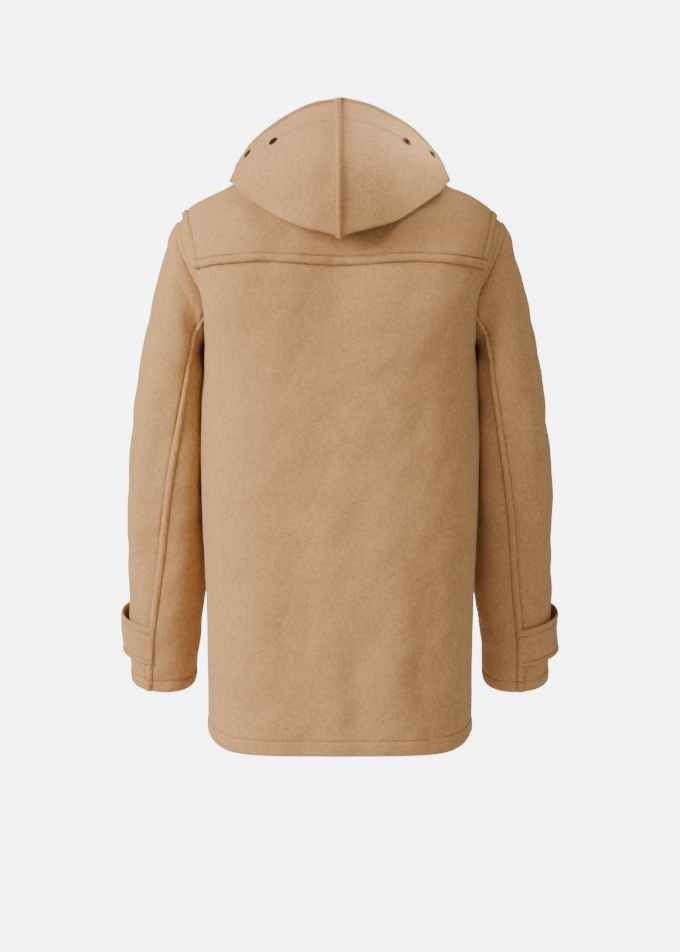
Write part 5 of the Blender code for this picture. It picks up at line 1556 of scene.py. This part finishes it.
for number, height in enumerate(CLOSURE_HEIGHTS, start=1):
    spot, above, below = (on_front(TOGGLE_X, height + end * TOGGLE_LENGTH / 2, TOGGLE_OUT)[0]
                          for end in (0, 1, -1))
    up = (above - below).normalized()
    back = up.cross(Vector((1, 0, 0))).normalized()
    turned = Matrix((back.cross(up), back, up)).transposed().to_4x4()
    placed_copy(toggle, f"toggle_{number}", "horn", Matrix.Translation(spot) @ turned)
bpy.data.objects.remove(toggle)


# ---------------------------------------------------------------- camera, light and floor

FLOOR_HEIGHT = -1.50
FLOOR_SIZE = 2.9
CAMERA_DISTANCE = 2.8
CAMERA_HEIGHT = -0.4406     # a little below the coat's middle
LENS = 73.5                 # mm, on a sensor 36 mm high
SENSOR = 36.0
PANEL_Y = -6.0
PANEL_WIDTH = 3.3
PANEL_HEIGHT = 4.6
PANEL_MIDDLE = -0.45

camera_data = bpy.data.cameras.new("camera")
camera_data.lens = LENS
camera_data.sensor_width = SENSOR
camera_data.sensor_fit = "VERTICAL"
camera_data.sensor_height = SENSOR
camera = bpy.data.objects.new("camera", camera_data)
camera.location = (0, CAMERA_DISTANCE, CAMERA_HEIGHT)
camera.rotation_euler = (math.pi / 2, 0, math.pi)
bpy.context.scene.collection.objects.link(camera)
bpy.context.scene.camera = camera


def area_light(name, place, target, size, power, colour):
    """A soft square light aimed at a place."""
    data = bpy.data.lights.new(name, "AREA")
    data.size = size
    data.energy = power
    data.color = colour
    lamp = bpy.data.objects.new(name, data)
    lamp.location = place
    lamp.rotation_euler = (Vector(target) - Vector(place)).to_track_quat("-Z", "Y").to_euler()
    bpy.context.scene.collection.objects.link(lamp)
    return data


area_light("key", (2.55, 1.55, 0.75), (0, 0, -0.40), 1.3, 205, (1.0, 0.99, 0.97))
area_light("top", (-0.25, 1.2, 2.1), (0, 0, -0.10), 1.3, 26, (1.0, 1.0, 1.0))
area_light("fill", (-1.6, 2.6, 0.1), (0, 0, -0.4), 2.0, 13, (0.98, 0.99, 1.0))
hood_light = area_light("hood light", (-1.45, 1.40, 1.30), (-0.11, 0.13, 0.03), 0.14, 0.20,
                        (1.0, 0.99, 0.98))
hood_light.spread = math.radians(5)

world = bpy.data.worlds.new("world")
world.use_nodes = True
set_inputs(world.node_tree, world.node_tree.nodes["Background"],
           {"Color": (1.0, 1.0, 1.0, 1.0), "Strength": 0.50})
bpy.context.scene.world = world

# The floor is a sheet of pale matt paper.
paper, paper_tree, paper_shader, _ = new_material("pale paper")
set_inputs(paper_tree, paper_shader, {"Base Color": linear("F1F1F1"), "Roughness": 0.9})
bpy.ops.mesh.primitive_plane_add(size=FLOOR_SIZE, location=(0, 0, FLOOR_HEIGHT))
floor = bpy.context.object
floor.name = "floor"
floor.data.materials.append(paper)

# The backdrop is a white panel lit from inside, which is why no shadow falls on it.
glow, glow_tree, glow_shader, _ = new_material("lit white panel")
set_inputs(glow_tree, glow_shader, {"Base Color": linear("F1F1F1"), "Emission Strength": 5.6,
                                    "Emission Color": (1.0, 1.0, 1.0, 1.0)})
bpy.ops.mesh.primitive_plane_add(size=1, location=(0, PANEL_Y, PANEL_MIDDLE),
                                 rotation=(-math.pi / 2, 0, 0))
panel = bpy.context.object
panel.name = "backdrop"
panel.scale = (PANEL_WIDTH, PANEL_HEIGHT, 1)
bpy.ops.object.transform_apply()
panel.data.materials.append(glow)
